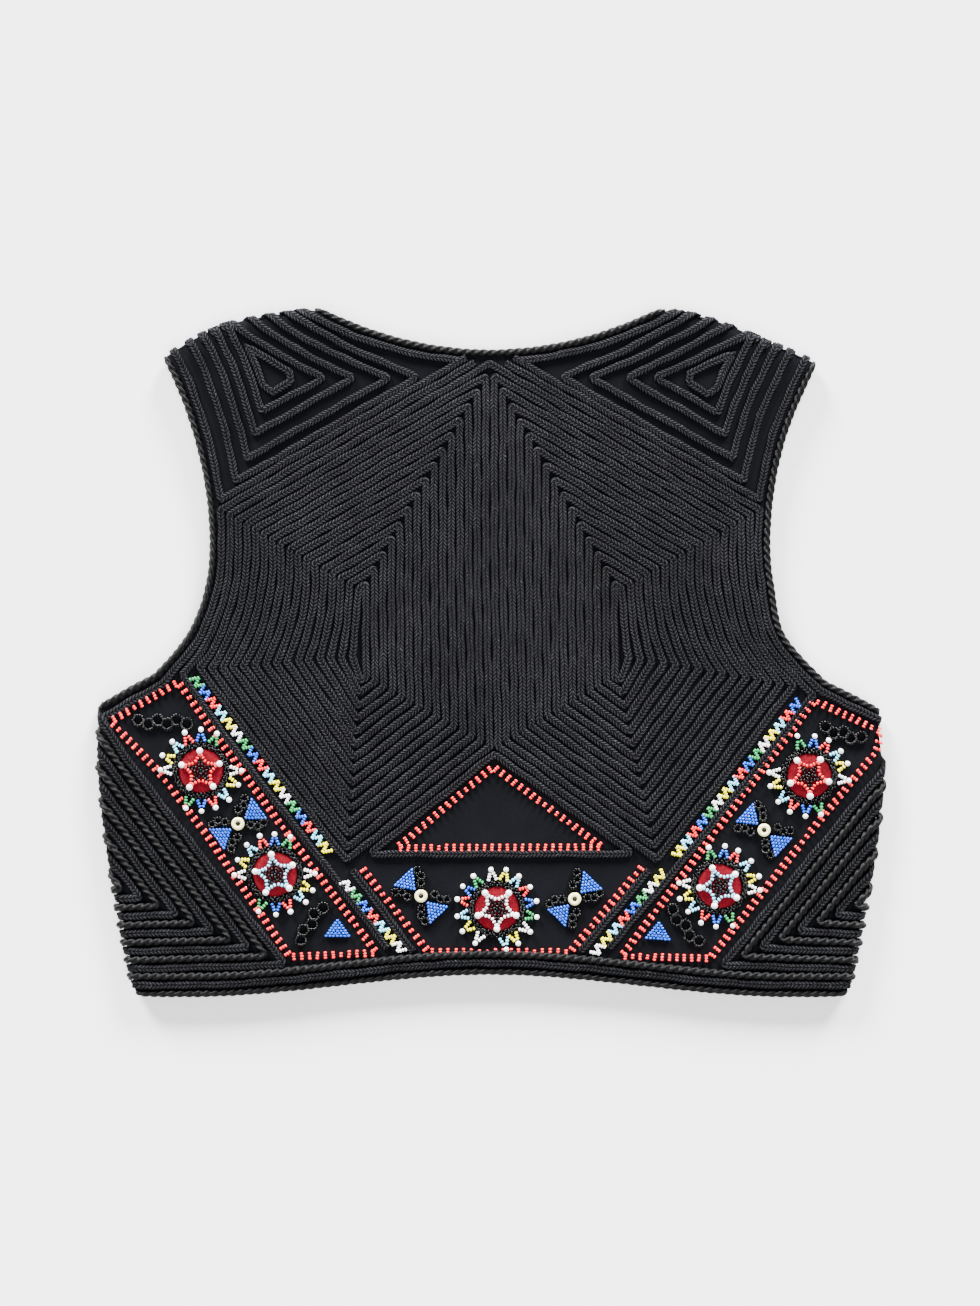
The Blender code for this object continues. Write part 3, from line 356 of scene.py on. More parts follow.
def shoulder_circle():
    (x0, y0), (x1, y1) = SHOULDER_NECK_END, SHOULDER_TIP
    half = math.hypot(x1 - x0, y1 - y0) / 2
    radius = (half**2 + SHOULDER_RISE**2) / (2 * SHOULDER_RISE)
    back = (radius - SHOULDER_RISE) / (2 * half)
    return ((x0 + x1) / 2 + back * (y1 - y0), (y0 + y1) / 2 - back * (x1 - x0)), radius


SHOULDER_MIDDLE, SHOULDER_R = shoulder_circle()


def past_shoulder(p):
    """How far a place is past the start of the shoulder fold."""
    reach = np.hypot(abs(p[0]) - SHOULDER_MIDDLE[0], p[1] - SHOULDER_MIDDLE[1])
    return np.where(np.asarray(p[1]) < SHOULDER_LOW, -SHOULDER_LOW, reach - (SHOULDER_R - FOLD_R))


def arc(middle, radius, start, end, steps):
    angles = [start + (end - start) * i / steps for i in range(steps + 1)]
    return [(middle[0] + radius * math.cos(a), middle[1] + radius * math.sin(a)) for a in angles]


def neck(offset):
    return arc((0.0, NECK_BOTTOM + NECK_R), NECK_R + offset, math.radians(-90), math.radians(-57), 33)


def armhole(offset):
    (x, y), upper, lower = ARMHOLE_NARROW, ARMHOLE_UPPER_R, ARMHOLE_LOWER_R
    path = arc((x + upper, y), upper + offset, math.radians(146), math.radians(180), 28)
    around = arc((x + lower, y), lower + offset, math.radians(180), math.radians(236), 40)
    path += before(around, lambda p: over_armhole(p, offset))[1:]
    slant = math.hypot(1.0, UNDERARM_SLOPE)
    path.append((UNDERARM[0] + PAST_UNDERARM, UNDERARM[1] - UNDERARM_SLOPE * PAST_UNDERARM - offset * slant))
    return path


def crossing(path, measure):
    """Index and place at which a measure changes its sign along a path."""
    values = [measure(p) for p in path]
    for i in range(len(path) - 1):
        if (values[i] > 0) != (values[i + 1] > 0):
            share = values[i] / (values[i] - values[i + 1])
            (x0, y0), (x1, y1) = path[i], path[i + 1]
            return i, (x0 + (x1 - x0) * share, y0 + (y1 - y0) * share)
    raise ValueError("the path doesn't cross that line")


def before(path, measure):
    index, point = crossing(path, measure)
    return path[:index + 1] + [point]


def after(path, measure):
    index, point = crossing(path, measure)
    return [point] + path[index + 1:]


def between(a, b, count):
    return [(a[0] + (b[0] - a[0]) * i / (count - 1), a[1] + (b[1] - a[1]) * i / (count - 1))
            for i in range(count)]


def web_ring(share, side):
    """Loop of the web, started in the middle of its upright run beside the axis."""
    first = 2.5 * WEB_PITCH
    arm = armhole(EDGE + 2 * WEB_PITCH)
    arm = before(after(arm, lambda p: yoke(p) - first), lambda p: band(p, side) - WEB_BAND_EDGE)
    axis_y = -(PEAK_ORIGIN + WEB_PEAK_EDGE) / PEAK_SIN
    low = band_meets_peak(WEB_BAND_EDGE, WEB_PEAK_EDGE, side)
    outer = [(0.0, yoke_y(first, 0.0))] + arm + [low, (0.0, axis_y)]
    inner = [CORE["top"]] + between(CORE["arm_top"], CORE["arm_low"], len(arm)) + [CORE["low"], CORE["axis"]]
    mix = [(a[0] + (b[0] - a[0]) * share, a[1] + (b[1] - a[1]) * share) for a, b in zip(outer, inner)]
    middle = ((mix[0][0] + mix[-1][0]) / 2, (mix[0][1] + mix[-1][1]) / 2)
    return [middle] + mix + [middle]


def yoke_cord(number, side):
    distance = number * WEB_PITCH
    arm = after(armhole(EDGE + (number - 0.5) * WEB_PITCH), lambda p: yoke(p) - distance)
    start_x = 9.0 if number == 1 else 0.0
    path = [(start_x, yoke_y(distance, start_x))] + arm
    if number == 2:
        path = before(path, lambda p: band(p, side) - BAND_CORD)
        path += [(band_x(BAND_CORD, y, side), y) for y in (-75.0, -125.0, -177.0)]
    return path


def shoulder_cord(size):
    return before(armhole(size["arm"]), lambda p: p[1] - size["corner_y"]) + size["rise"]


def chevron(number, side):
    """Top, corner and end of a side panel's row, counted from the band."""
    slant = SIDE_SLANTS[side]
    distance = slant["first"] + CHEVRON_PITCH * number
    level = CHEVRON_FIRST_Y + CHEVRON_PITCH_Y * number
    corner = ((distance + slant["sin"] * level) / slant["cos"], level)
    end_y = level - CHEVRON_FALL * max(1.0 - number / CHEVRONS, 0.0)
    top_y = level
    for _ in range(30):
        top_y = ((fold_at(top_y) + SIDE_TURN) * slant["cos"] - distance) / slant["sin"]
    top = (fold_at(top_y) + SIDE_TURN, top_y)
    return [top, corner, (fold_at(end_y) + SIDE_TURN, end_y)]


def side_row(number, side):
    """Path of a side panel's row on its own side, or nothing where it would lie wholly underneath."""
    top, corner, end = chevron(number, side)
    if corner[0] > side_edge(corner[1]) - 2.0:
        return []
    return [(side * u, y) for u, y in (top, corner, end)]


def seam_x(y, side):
    """Place across, at a height, of the seam between back and side."""
    slant = SIDE_SLANTS[side]
    beside = (slant["first"] - SIDE_SEAM_IN + slant["sin"] * y) / slant["cos"]
    return min(beside, fold_at(y) - SIDE_SEAM_FROM_FOLD)


def halving(measure, low, high):
    for _ in range(50):
        middle = (low + high) / 2
        if (measure(low) > 0) == (measure(middle) > 0):
            low = middle
        else:
            high = middle
    return low


def over_armhole(p, offset):
    slant = math.hypot(1.0, UNDERARM_SLOPE)
    return (p[1] - UNDERARM[1] + UNDERARM_SLOPE * (p[0] - UNDERARM[0])) / slant + offset


def seam_line(side, gap):
    top = halving(lambda y: over_armhole((seam_x(y, side) + gap, y), CLOTH_EDGE), -60.0, -20.0)
    low = halving(lambda y: y - hem_edge(seam_x(y, side) + gap) - CLOTH_EDGE, -204.0, -170.0)
    return [(seam_x(y, side) + gap, y) for y in np.linspace(top, low, 28)]


def under_u(x, y):
    """Place across the side panel of a point x on its underside."""
    return 2 * fold_at(y) + SIDE_TURN - x


def moved(path, distance):
    """Path moved sideways by a distance."""
    points = [Vector(p) for p in path]
    out = []
    for i, point in enumerate(points):
        sides = []
        for j in (i - 1, i):
            if 0 <= j < len(points) - 1:
                run = (points[j + 1] - points[j]).normalized()
                sides.append(Vector((-run.y, run.x)))
        normal = sum(sides, Vector((0, 0))).normalized()
        out.append(tuple(point + normal * distance / max(normal.dot(sides[0]), 0.35)))
    return out


def front_armhole(offset):
    path = armhole(offset)
    top_y, low_y = path[0][1], UNDERARM[1]
    out = []
    for before_p, p, after_p in zip(path[:1] + path, path, path[1:] + path[-1:]):
        share = min(max((top_y - 30.0 - p[1]) / (top_y - 30.0 - low_y), 0.0), 1.0)
        depth = FRONT_ARMHOLE_DEPTH * math.sin(share * math.pi) ** 2 + FRONT_INSET * ease(share * 3.0)
        run = Vector((after_p[0] - before_p[0], after_p[1] - before_p[1])).normalized()
        out.append((p[0] + run.y * depth, p[1] - run.x * depth))
    return out


def height_on(path, x):
    """Height at which a path passes a place across, on its lower stretch."""
    for (x0, y0), (x1, y1) in zip(path, path[1:]):
        if x0 <= x <= x1 and y1 < 0:
            return y0 + (y1 - y0) * (x - x0) / max(x1 - x0, 1e-9)
    raise ValueError("the path doesn't reach that far")


def front_seam(side, gap):
    arm = front_armhole(CLOTH_EDGE)
    top = halving(lambda y: y - height_on(arm, seam_x(y, side) + gap), -80.0, -20.0)
    low = halving(lambda y: y - hem_edge(seam_x(y, side) + gap) - CLOTH_EDGE - FRONT_INSET, -200.0, -170.0)
    return [(seam_x(y, side) + gap, y) for y in np.linspace(top, low, 24)]


def front_collar(offset):
    past = before(neck(0.0)[::-1], past_shoulder)
    start, end = past[-1], (FRONT_OPENING / 2, FRONT_NECK_Y)
    path = list(past)
    for i in range(1, 25):
        t = i / 24
        path.append(tuple((1 - t) ** 2 * start[k] + 2 * t * (1 - t) * FRONT_NECK_PULL[k] + t**2 * end[k]
                          for k in (0, 1)))
    path.append((FRONT_OPENING / 2, FRONT_NECK_Y - 12.0))
    return moved(path, offset)


def past_rim(p):
    """How far a place is past the middle of the shoulder fold, where the cloth of the back ends."""
    return past_shoulder(p) - HALF_TURN


def shoulder_rim(start, end):
    """Cut along the shoulder, between two places on it."""
    a0, a1 = (math.atan2(p[1] - SHOULDER_MIDDLE[1], p[0] - SHOULDER_MIDDLE[0]) for p in (start, end))
    return arc(SHOULDER_MIDDLE, SHOULDER_R - FOLD_R + HALF_TURN, a0, a1, 16)[1:-1]


def back_half_outline(side):
    collar, arm = before(neck(CLOTH_EDGE), past_rim), after(armhole(CLOTH_EDGE), past_rim)
    shoulder = shoulder_rim(collar[-1], arm[0])
    seam = seam_line(side, 0.0)
    arm = [p for p in arm if p[0] < seam[0][0] - 1.0 or p[1] > 0]
    return collar + shoulder + arm + seam + hem_line(seam[-1][0], 0.0, CLOTH_EDGE)[1:]


def side_outline(side):
    seam = seam_line(side, 0.0)
    fold_x = fold_at(seam[-1][1])
    hem = hem_line(seam[-1][0], fold_x, CLOTH_EDGE)
    turn = [(fold_x + SIDE_TURN * i / 8, hem[-1][1] + FRONT_INSET * ease(i / 8)) for i in range(1, 9)]
    low = front_seam(side, 0.0)[-1]
    under = [(under_u(x, y), y) for x, y in hem_line(fold_x, low[0], CLOTH_EDGE + FRONT_INSET)[1:]]
    back_up = [(under_u(x, y), y) for x, y in reversed(front_seam(side, 0.0))]
    top, end = back_up[-1], seam[0]
    over = [(top[0] + (end[0] - top[0]) * i / 10, top[1] + (end[1] - top[1]) * ease(i / 10))
            for i in range(1, 10)]
    return seam + hem[1:] + turn + under + back_up[1:] + over


def front_outline(side):
    collar, arm = after(front_collar(CLOTH_EDGE), past_rim), after(front_armhole(CLOTH_EDGE), past_rim)
    shoulder = shoulder_rim(collar[0], arm[0])
    seam = front_seam(side, 0.0)
    arm = [p for p in arm if p[0] < seam[0][0] - 1.0]
    hem = hem_line(seam[-1][0], FRONT_OPENING / 2 + CLOTH_EDGE, CLOTH_EDGE + FRONT_INSET)[1:]
    opening = between(hem[-1], (hem[-1][0], collar[-1][1]), 30)[1:-1]
    return shoulder + arm + seam + hem + opening + collar[::-1]


def settled(x, y):
    """How far a place on the vest is moved, because the two sides don't lie alike."""
    left, across = np.where(x < 0, 1.0, 0.0), np.abs(x)
    low = ease((-40.0 - y) / 30.0) * (across / 236.0) ** 2
    wide = SETTLED["low_left"] * low * left + SETTLED["low_right"] * low * (1 - left)
    narrow = np.exp(-((y - 12.0) / 18.0) ** 2 - ((across - 182.0) / 28.0) ** 2) * (1 - left)
    shoulder = np.exp(-((across - 168.0) / 32.0) ** 2) * ease((y - 120.0) / 60.0)
    underarm = np.exp(-((y + 15.0) / 28.0) ** 2) * ease((across - 160.0) / 35.0) * left
    return (wide + SETTLED["armhole_right"] * narrow,
            SETTLED["shoulder"] * shoulder * (2 * left - 1) + SETTLED["underarm_left"] * underarm)


def moved_to_lie(points):
    """Points in space moved to where the vest has settled."""
    points = np.array(points, float)
    dx, dy = settled(points[..., 0], points[..., 1])
    points[..., 0] += dx
    points[..., 1] += dy
    return points


def before_settling(x, y):
    """Place on the pattern that has settled at a given place."""
    x0, y0 = np.asarray(x, float), np.asarray(y, float)
    px, py = x0, y0
    for _ in range(4):
        dx, dy = settled(px, py)
        px, py = x0 - dx, y0 - dy
    return px, py


def lie(x, y):
    """Slow rise and fall of the cloth where it lies, in millimetres."""
    slow = 0.45 * np.sin(x / 47.0 + 1.3) * np.sin(y / 61.0 + 0.4)
    return slow + 0.22 * np.sin(x / 21.0 + y / 34.0) + 0.12 * np.sin(x / 11.0 - y / 9.0)


def place(u, y, h):
    """World places, in millimetres, of points over the inner face of the back and side panels."""
    u, y, h = (np.asarray(v, float) for v in (u, y, h))
    side, across, r = np.where(u < 0, -1.0, 1.0), np.abs(u), FOLD_GAP + h
    fold_x = fold_at(y)
    over = across - fold_x
    angle = np.clip(over / TURN_R, 0.0, math.pi)
    back_in = np.maximum(over - SIDE_TURN, 0.0)
    calm = ease(-over / 22.0)
    dip = NECK_DIP * np.exp(-(u / NECK_DIP_SPAN[0]) ** 2 - ((y - NECK_BOTTOM) / NECK_DIP_SPAN[1]) ** 2)
    flat = np.stack([u, y, FOLD_Z + r - dip + lie(u, y) * calm], -1)
    rolled = np.stack([side * (fold_x + r * np.sin(angle) - back_in), y, FOLD_Z + r * np.cos(angle)], -1)
    past = past_shoulder((across, y))
    turned = shoulder_roll(side, across, y, np.maximum(past, 0.0), r, 1.0)
    turned[..., 2] += lie(u, y) * ease((2.0 - past) / 6.0) * calm
    out = np.where((over > 0)[..., None], rolled, flat)
    return np.where(((past > 0) & (over <= 0))[..., None], turned, out)


def shoulder_roll(side, across, y, past, r, up):
    """Places rolled over the shoulder fold."""
    reach = SHOULDER_R - FOLD_R
    length = np.maximum(np.hypot(across - SHOULDER_MIDDLE[0], y - SHOULDER_MIDDLE[1]), 1e-9)
    nx, ny = (across - SHOULDER_MIDDLE[0]) / length, (y - SHOULDER_MIDDLE[1]) / length
    angle = past / TURN_R
    out = reach + r * np.sin(angle)
    return np.stack([side * (SHOULDER_MIDDLE[0] + nx * out), SHOULDER_MIDDLE[1] + ny * out,
                     FOLD_Z + up * r * np.cos(angle)], -1)


def place_front(x, y, h):
    """World places of a front, which lies face down: h is measured down from its inner face."""
    x, y, h = (np.asarray(v, float) for v in (x, y, h))
    past = past_shoulder((np.abs(x), y))
    side = np.where(x < 0, -1.0, 1.0)
    turned = shoulder_roll(side, np.abs(x), y, np.maximum(past, 0.0), FOLD_GAP + h, -1.0)
    return np.where((past > 0)[..., None], turned, np.stack([x, y, FOLD_Z - FOLD_GAP - h], -1))


def under_share(u, y):
    """0 on the back and 1 once the cloth has turned under at the side."""
    over = np.abs(u) - fold_at(y)
    return ease((over / TURN_R - math.pi / 2) / (math.pi / 2))


def cloth_top(u, y):
    """Height of the cloth's outer face over its inner one, raised where it turns under."""
    return CLOTH + 1.3 * under_share(u, y)


def front_top(x, y):
    """Depth of a front's outer face under its inner one."""
    return FRONT_TOP["flat"] - FRONT_TOP["less"] * ease(past_shoulder((x, y)) / FRONT_TOP["run"])


def mesh_piece(name, points, faces, materials, uv=None, slots=None):
    """Object from points in millimetres. uv has a row for each corner of each face."""
    mesh = bpy.data.meshes.new(name)
    mesh.from_pydata(((moved_to_lie(points) - CENTRE) * MM).tolist(), [], faces)
    for material in materials:
        mesh.materials.append(material)
    if slots is not None:
        mesh.polygons.foreach_set("material_index", np.asarray(slots, np.int32))
    if uv is not None:
        layer = mesh.uv_layers.new(name="cord")
        layer.data.foreach_set("uv", np.asarray(uv, np.float32).ravel())
    mesh.update()
    piece = bpy.data.objects.new(name, mesh)
    bpy.context.scene.collection.objects.link(piece)
    return piece


def only(piece):
    """Selects one piece and nothing else."""
    bpy.ops.object.select_all(action="DESELECT")
    piece.select_set(True)
    bpy.context.view_layer.objects.active = piece


def turn_outwards(piece, weld=0.0):
    """Turns a piece's faces outwards, once points nearer than the given length are one."""
    only(piece)
    bpy.ops.object.mode_set(mode="EDIT")
    bpy.ops.mesh.select_all(action="SELECT")
    if weld:
        bpy.ops.mesh.remove_doubles(threshold=weld)
    bpy.ops.mesh.normals_make_consistent(inside=False)
    bpy.ops.object.mode_set(mode="OBJECT")


def finished(piece, replaces=(), angle=60.0):
    """Smooths a piece and ties it to the vest's body."""
    only(piece)
    bpy.ops.object.shade_smooth_by_angle(angle=math.radians(angle))
    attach(piece, "root")
    if replaces:
        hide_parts(*replaces)


def rounded(path, reach):
    """Path whose sharp corners are taken round in a short curve."""
    points = [np.array(p, float) for p in path]
    out = [points[0]]
    for a, b, c in zip(points, points[1:], points[2:]):
        into, away = b - a, c - b
        li, lo = np.linalg.norm(into), np.linalg.norm(away)
        turn = math.acos(np.clip(np.dot(into, away) / max(li * lo, 1e-9), -1, 1))
        if turn < 0.3:
            out.append(b)
            continue
        cut = min(reach * math.tan(turn / 2), 0.45 * li, 0.45 * lo, 3.2 * reach)
        start, end = b - into / li * cut, b + away / lo * cut
        out += [(1 - t) ** 2 * start + 2 * t * (1 - t) * b + t**2 * end for t in np.linspace(0, 1, 6)]
    return np.array(out + [points[-1]])


def evened(path, step):
    """Path with points added on its long runs and left out where they crowd."""
    path = np.asarray(path, float)
    out = [path[0]]
    for a, b in zip(path, path[1:]):
        parts = max(1, math.ceil(np.linalg.norm(b - a) / step))
        out += [a + (b - a) * i / parts for i in range(1, parts + 1)]
    kept = [out[0]]
    for p in out[1:]:
        if np.linalg.norm(p - kept[-1]) > 0.3:
            kept.append(p)
    return np.array(kept)


def lengths_along(points):
    return np.r_[0, np.cumsum(np.linalg.norm(np.diff(points[:, :3], axis=0), axis=1))]


class CordSet:
    """Braids or twisted cords that are gathered into one piece."""

    def __init__(self, seed):
        self.points, self.faces, self.uv, self.count = [], [], [], 0
        self.rng = np.random.default_rng(seed)

    def skin(self, rings, at, across):
        """Closed skin over rings of points. One more length than rings joins the last to the first."""
        rows, columns = rings.shape[:2]
        index = np.arange(rows * columns).reshape(rows, columns) + self.count
        closed = len(at) > rows
        if closed:
            index = np.vstack([index, index[:1]])
        wrap = np.hstack([index, index[:, :1]])
        quads = np.stack([wrap[:-1, :-1], wrap[:-1, 1:], wrap[1:, 1:], wrap[1:, :-1]], -1)
        u, v = np.meshgrid(at * MM + self.rng.uniform(0, 1), np.asarray(across) * MM, indexing="ij")
        uv = np.stack([u, v], -1)
        corners = np.stack([uv[:-1, :-1], uv[:-1, 1:], uv[1:, 1:], uv[1:, :-1]], 2)
        self.faces += quads.reshape(-1, 4).tolist()
        self.uv.append(corners.reshape(-1, 2))
        self.points.append(rings.reshape(-1, 3))
        self.count += rows * columns
        if not closed:
            for row, rank in ((0, -1), (-1, 1)):
                self.cap(rings[row], wrap[row], uv[row], rank)

    def cap(self, ring, index, uv, rank):
        middle = ring.mean(0)
        self.points.append(middle[None, :])
        self.faces += [[index[j], index[j + 1], self.count][::-rank] for j in range(len(ring))]
        fan = np.stack([uv[:-1], uv[1:], (uv[:-1] + uv[1:]) / 2], 1)[:, ::-rank]
        self.uv.append(fan.reshape(-1, 2))
        self.count += 1

    def braid(self, path, width, height, closed=False, reach=1.6, wander=0.22):
        """Flat braid along a path on the cloth, a little uneven as it is sewn by hand."""
        path = evened(rounded(path, reach), 4.0)
        if closed:
            path = path[:-1] if np.linalg.norm(path[0] - path[-1]) < 0.6 else path
            ring = np.vstack([path[-1:], path, path[:1]])
            run, at = ring[2:] - ring[:-2], lengths_along(np.vstack([path, path[:1]]))
        else:
            run, at = np.gradient(path, axis=0), lengths_along(path)
        run /= np.linalg.norm(run, axis=1)[:, None]
        side = np.stack([-run[:, 1], run[:, 0]], -1)
        total, turns, phase = at[-1], at[:len(path)] / at[-1] * math.tau, self.rng.uniform(0, math.tau, 3)
        sway = wander * np.sin(max(1, round(total / 41)) * turns + phase[0])
        sway += 0.6 * wander * np.sin(max(1, round(total / 17)) * turns + phase[1])
        swell = 1.0 + 0.05 * np.sin(max(1, round(total / 23)) * turns + phase[2])
        path = path + side * sway[:, None]
        profile = np.array(BRAID_PROFILE)
        across, up = profile[:, 0] * width / 2, profile[:, 1] * height
        u = path[:, None, 0] + side[:, None, 0] * across * swell[:, None]
        y = path[:, None, 1] + side[:, None, 1] * across * swell[:, None]
        pressed = 1.0 - 0.93 * under_share(u, y)
        rings = place(u, y, cloth_top(u, y) + up * swell[:, None] * pressed)
        self.skin(rings, at, np.r_[across, across[0]])

    def twist(self, line, pitch, closed=False, step=0.9):
        """Cord of three strands along rows of x, y, z and radius."""
        line = np.asarray(line, float)
        if closed:
            line = np.vstack([line, line[:1]])
        at = lengths_along(line)
        count = int(round(at[-1] / step)) + 1
        even = np.linspace(0, at[-1], count)
        line = np.stack([np.interp(even, at, line[:, k]) for k in range(4)], -1)
        at, total = even, even[-1]
        if closed:
            line = line[:-1]
            run = np.roll(line[:, :3], -1, 0) - np.roll(line[:, :3], 1, 0)
        else:
            run = np.gradient(line[:, :3], axis=0)
        run /= np.linalg.norm(run, axis=1)[:, None]
        up, frames = np.array([0.0, 0.0, 1.0]), []
        for ahead in run:
            up = up - ahead * up.dot(ahead)
            up /= np.linalg.norm(up)
            frames.append(up)
        frames = np.array(frames)
        across = np.cross(run, frames)
        whole = math.tau * total / (3 * pitch)
        if closed:
            carried = up - run[0] * up.dot(run[0])
            slip = math.atan2(carried.dot(across[0]), carried.dot(frames[0]))
            whole = round((whole - slip) / math.tau) * math.tau + slip
        turn = -whole * at[:len(line)] / total + self.rng.uniform(0, 2.0)
        columns = np.arange(15)
        reach = np.array(STRAND_PROFILE)[columns % 5] * (1 + 0.03 * np.sin(at[:len(line), None] * 0.31))
        angle = columns * math.tau / 15 + turn[:, None]
        spread = frames[:, None] * np.cos(angle)[..., None] + across[:, None] * np.sin(angle)[..., None]
        rings = line[:, None, :3] + spread * (reach * line[:, 3:4])[..., None]
        self.skin(rings, at, np.arange(16.0))

    def piece(self, name, finish):
        points = np.vstack(self.points)
        # What turns under the shoulder rests on the table
        points[:, 2] = np.maximum(points[:, 2], TABLE)
        piece = mesh_piece(name, points, self.faces, [finish], np.vstack(self.uv))
        turn_outwards(piece)
        return piece


def on_cloth(path, lift, radius, step=1.0):
    """Line of a twisted cord sewn on the cloth, pressed flat where it has turned under."""
    path = evened(rounded(path, 2.0), step)
    u, y = path[:, 0], path[:, 1]
    under = under_share(u, y)
    points = place(u, y, cloth_top(u, y) + lift * (1 - 0.9 * under))
    return np.column_stack([points, radius * (1 - 0.9 * under)])


def worn_round(line, rounds, closed=False):
    """Line in space with its corners worn round."""
    line = np.array(line, float)
    for _ in range(rounds):
        if closed:
            line = (np.roll(line, 1, 0) + 2 * line + np.roll(line, -1, 0)) / 4
        else:
            line[1:-1] = (line[:-2] + 2 * line[1:-1] + line[2:]) / 4
    return line


def cord_level(share, from_fold):
    """Height over the cloth's inner face and radius of an edge cord, smaller where it turns."""
    level = ROPE_LIFT + (FOLD_Z - FOLD_GAP - ROPE_LOW_R - ROPE_LIFT) * share
    radius = ROPE_R + (ROPE_LOW_R - ROPE_R) * share - ROPE_PINCH * np.exp(-(from_fold / ROPE_PINCH_RUN) ** 2)
    return level, radius


def over_shoulder(path, front_path):
    """Edge cord from the back over the shoulder fold to a front, as rows of x, y, z and radius."""
    upper, lower = evened(before(path, past_rim), 1.0), evened(after(front_path, past_rim), 1.0)
    rows = []
    for line, lay, flips in ((upper, place, False), (lower, place_front, True)):
        past = past_shoulder(line.T)
        share = np.clip(past / TURN_R / math.pi, 0, 1)
        level, radius = cord_level(1 - share if flips else share, HALF_TURN - past)
        rows.append(np.column_stack([lay(line[:, 0], line[:, 1], level), radius]))
    return np.vstack([rows[0], rows[1][1:]])


def round_side(turn, middle):
    """Edge cord round the side fold, for rows of place across, height and distance from the fold."""
    u, y = np.array(turn).T
    share = np.clip((u - side_edge(y) + FOLD_R) / TURN_R / math.pi, 0, 1)
    level, radius = cord_level(share, np.abs(u - middle))
    return np.column_stack([place(u, y, level), radius])


def over_armhole_y(x, offset):
    return halving(lambda y: over_armhole((x, y), offset), -90.0, 0.0)


def armhole_edge():
    back, front = armhole(ROPE_R), front_armhole(ROPE_R)
    line = over_shoulder(back[::-1], front)
    fold_x = UNDERARM[0] - FOLD_R
    line = line[line[:, 0] < fold_x - 12.0]
    start_y, low_y = over_armhole_y(fold_x, ROPE_R), height_on(front, fold_x)
    turn = [(u, over_armhole_y(u, ROPE_R)) for u in (fold_x - 8.0, fold_x - 3.5)]
    turn += [(fold_x + SIDE_TURN * i / 10, start_y + (low_y - start_y) * ease(i / 10)) for i in range(11)]
    turn += [(fold_x * 2 + SIDE_TURN - x, height_on(front, x)) for x in (fold_x - 3.5, fold_x - 8.0)]
    line = np.vstack([line, round_side(turn, fold_x + SIDE_TURN / 2)[::-1]])
    return worn_round(evened(np.vstack([line, line[:1]]), 1.0)[:-1], 5, closed=True)


def neck_edge():
    collar = front_collar(ROPE_R)
    low_y = hem_edge(collar[-1][0]) + FRONT_INSET + 2 * ROPE_LOW_R + 0.3
    line = over_shoulder(neck(ROPE_R), collar + [(collar[-1][0], low_y)])
    return both_halves(line)


def hem_edge_line():
    low_x = fold_at(hem_edge(212.0) + ROPE_R)
    turn = hem_line(0.0, low_x - 8.0, ROPE_R)
    base = hem_edge(low_x) + ROPE_R
    for i in range(11):
        y = base + FRONT_INSET * ease(i / 10)
        turn.append((fold_at(y) + SIDE_TURN * i / 10, y))
    high_x = fold_at(base + FRONT_INSET)
    turn += [(under_u(x, y), y) for x, y in hem_line(high_x - 8.0, FRONT_OPENING / 2, ROPE_R + FRONT_INSET)]
    return both_halves(round_side(turn, high_x + SIDE_TURN / 2))


def both_halves(line):
    """Edge cord joined to its mirror image."""
    line = worn_round(evened(np.vstack([line[1:2] * [-1, 1, 1, 1], line]), 1.0), 5)
    line = line[line[:, 0] > -1e-6] if line[0, 0] < 0 else line
    return np.vstack([line[:0:-1] * [-1, 1, 1, 1], line])


def set_inputs(tree, made, values):
    """Gives the named inputs of a node a value or a link."""
    for name, value in values.items():
        if isinstance(value, bpy.types.NodeSocket):
            tree.links.new(value, made.inputs[name])
        else:
            made.inputs[name].default_value = value


def node(tree, kind, settings=(), inputs=(), stops=()):
    """Adds a node with its settings, inputs and colour stops, and gives its outputs."""
    made = tree.nodes.new("ShaderNode" + kind)
    for name, value in dict(settings).items():
        setattr(made, name, value)
    set_inputs(tree, made, dict(inputs))
    if stops:
        blend = made.color_ramp.elements
        for place_at, value in stops[1:-1]:
            blend.new(place_at).color = value
        blend[0].position, blend[0].color = stops[0]
        blend[-1].position, blend[-1].color = stops[-1]
    return made.outputs


def new_material(name):
    made = bpy.data.materials.new(name)
    made.use_nodes = True
    tree = made.node_tree
    return made, tree, tree.nodes["Principled BSDF"]


def dimmed(tint, share):
    """A colour at a share of its strength, with alpha."""
    return tuple(share * part for part in tint[:3]) + (1.0,)


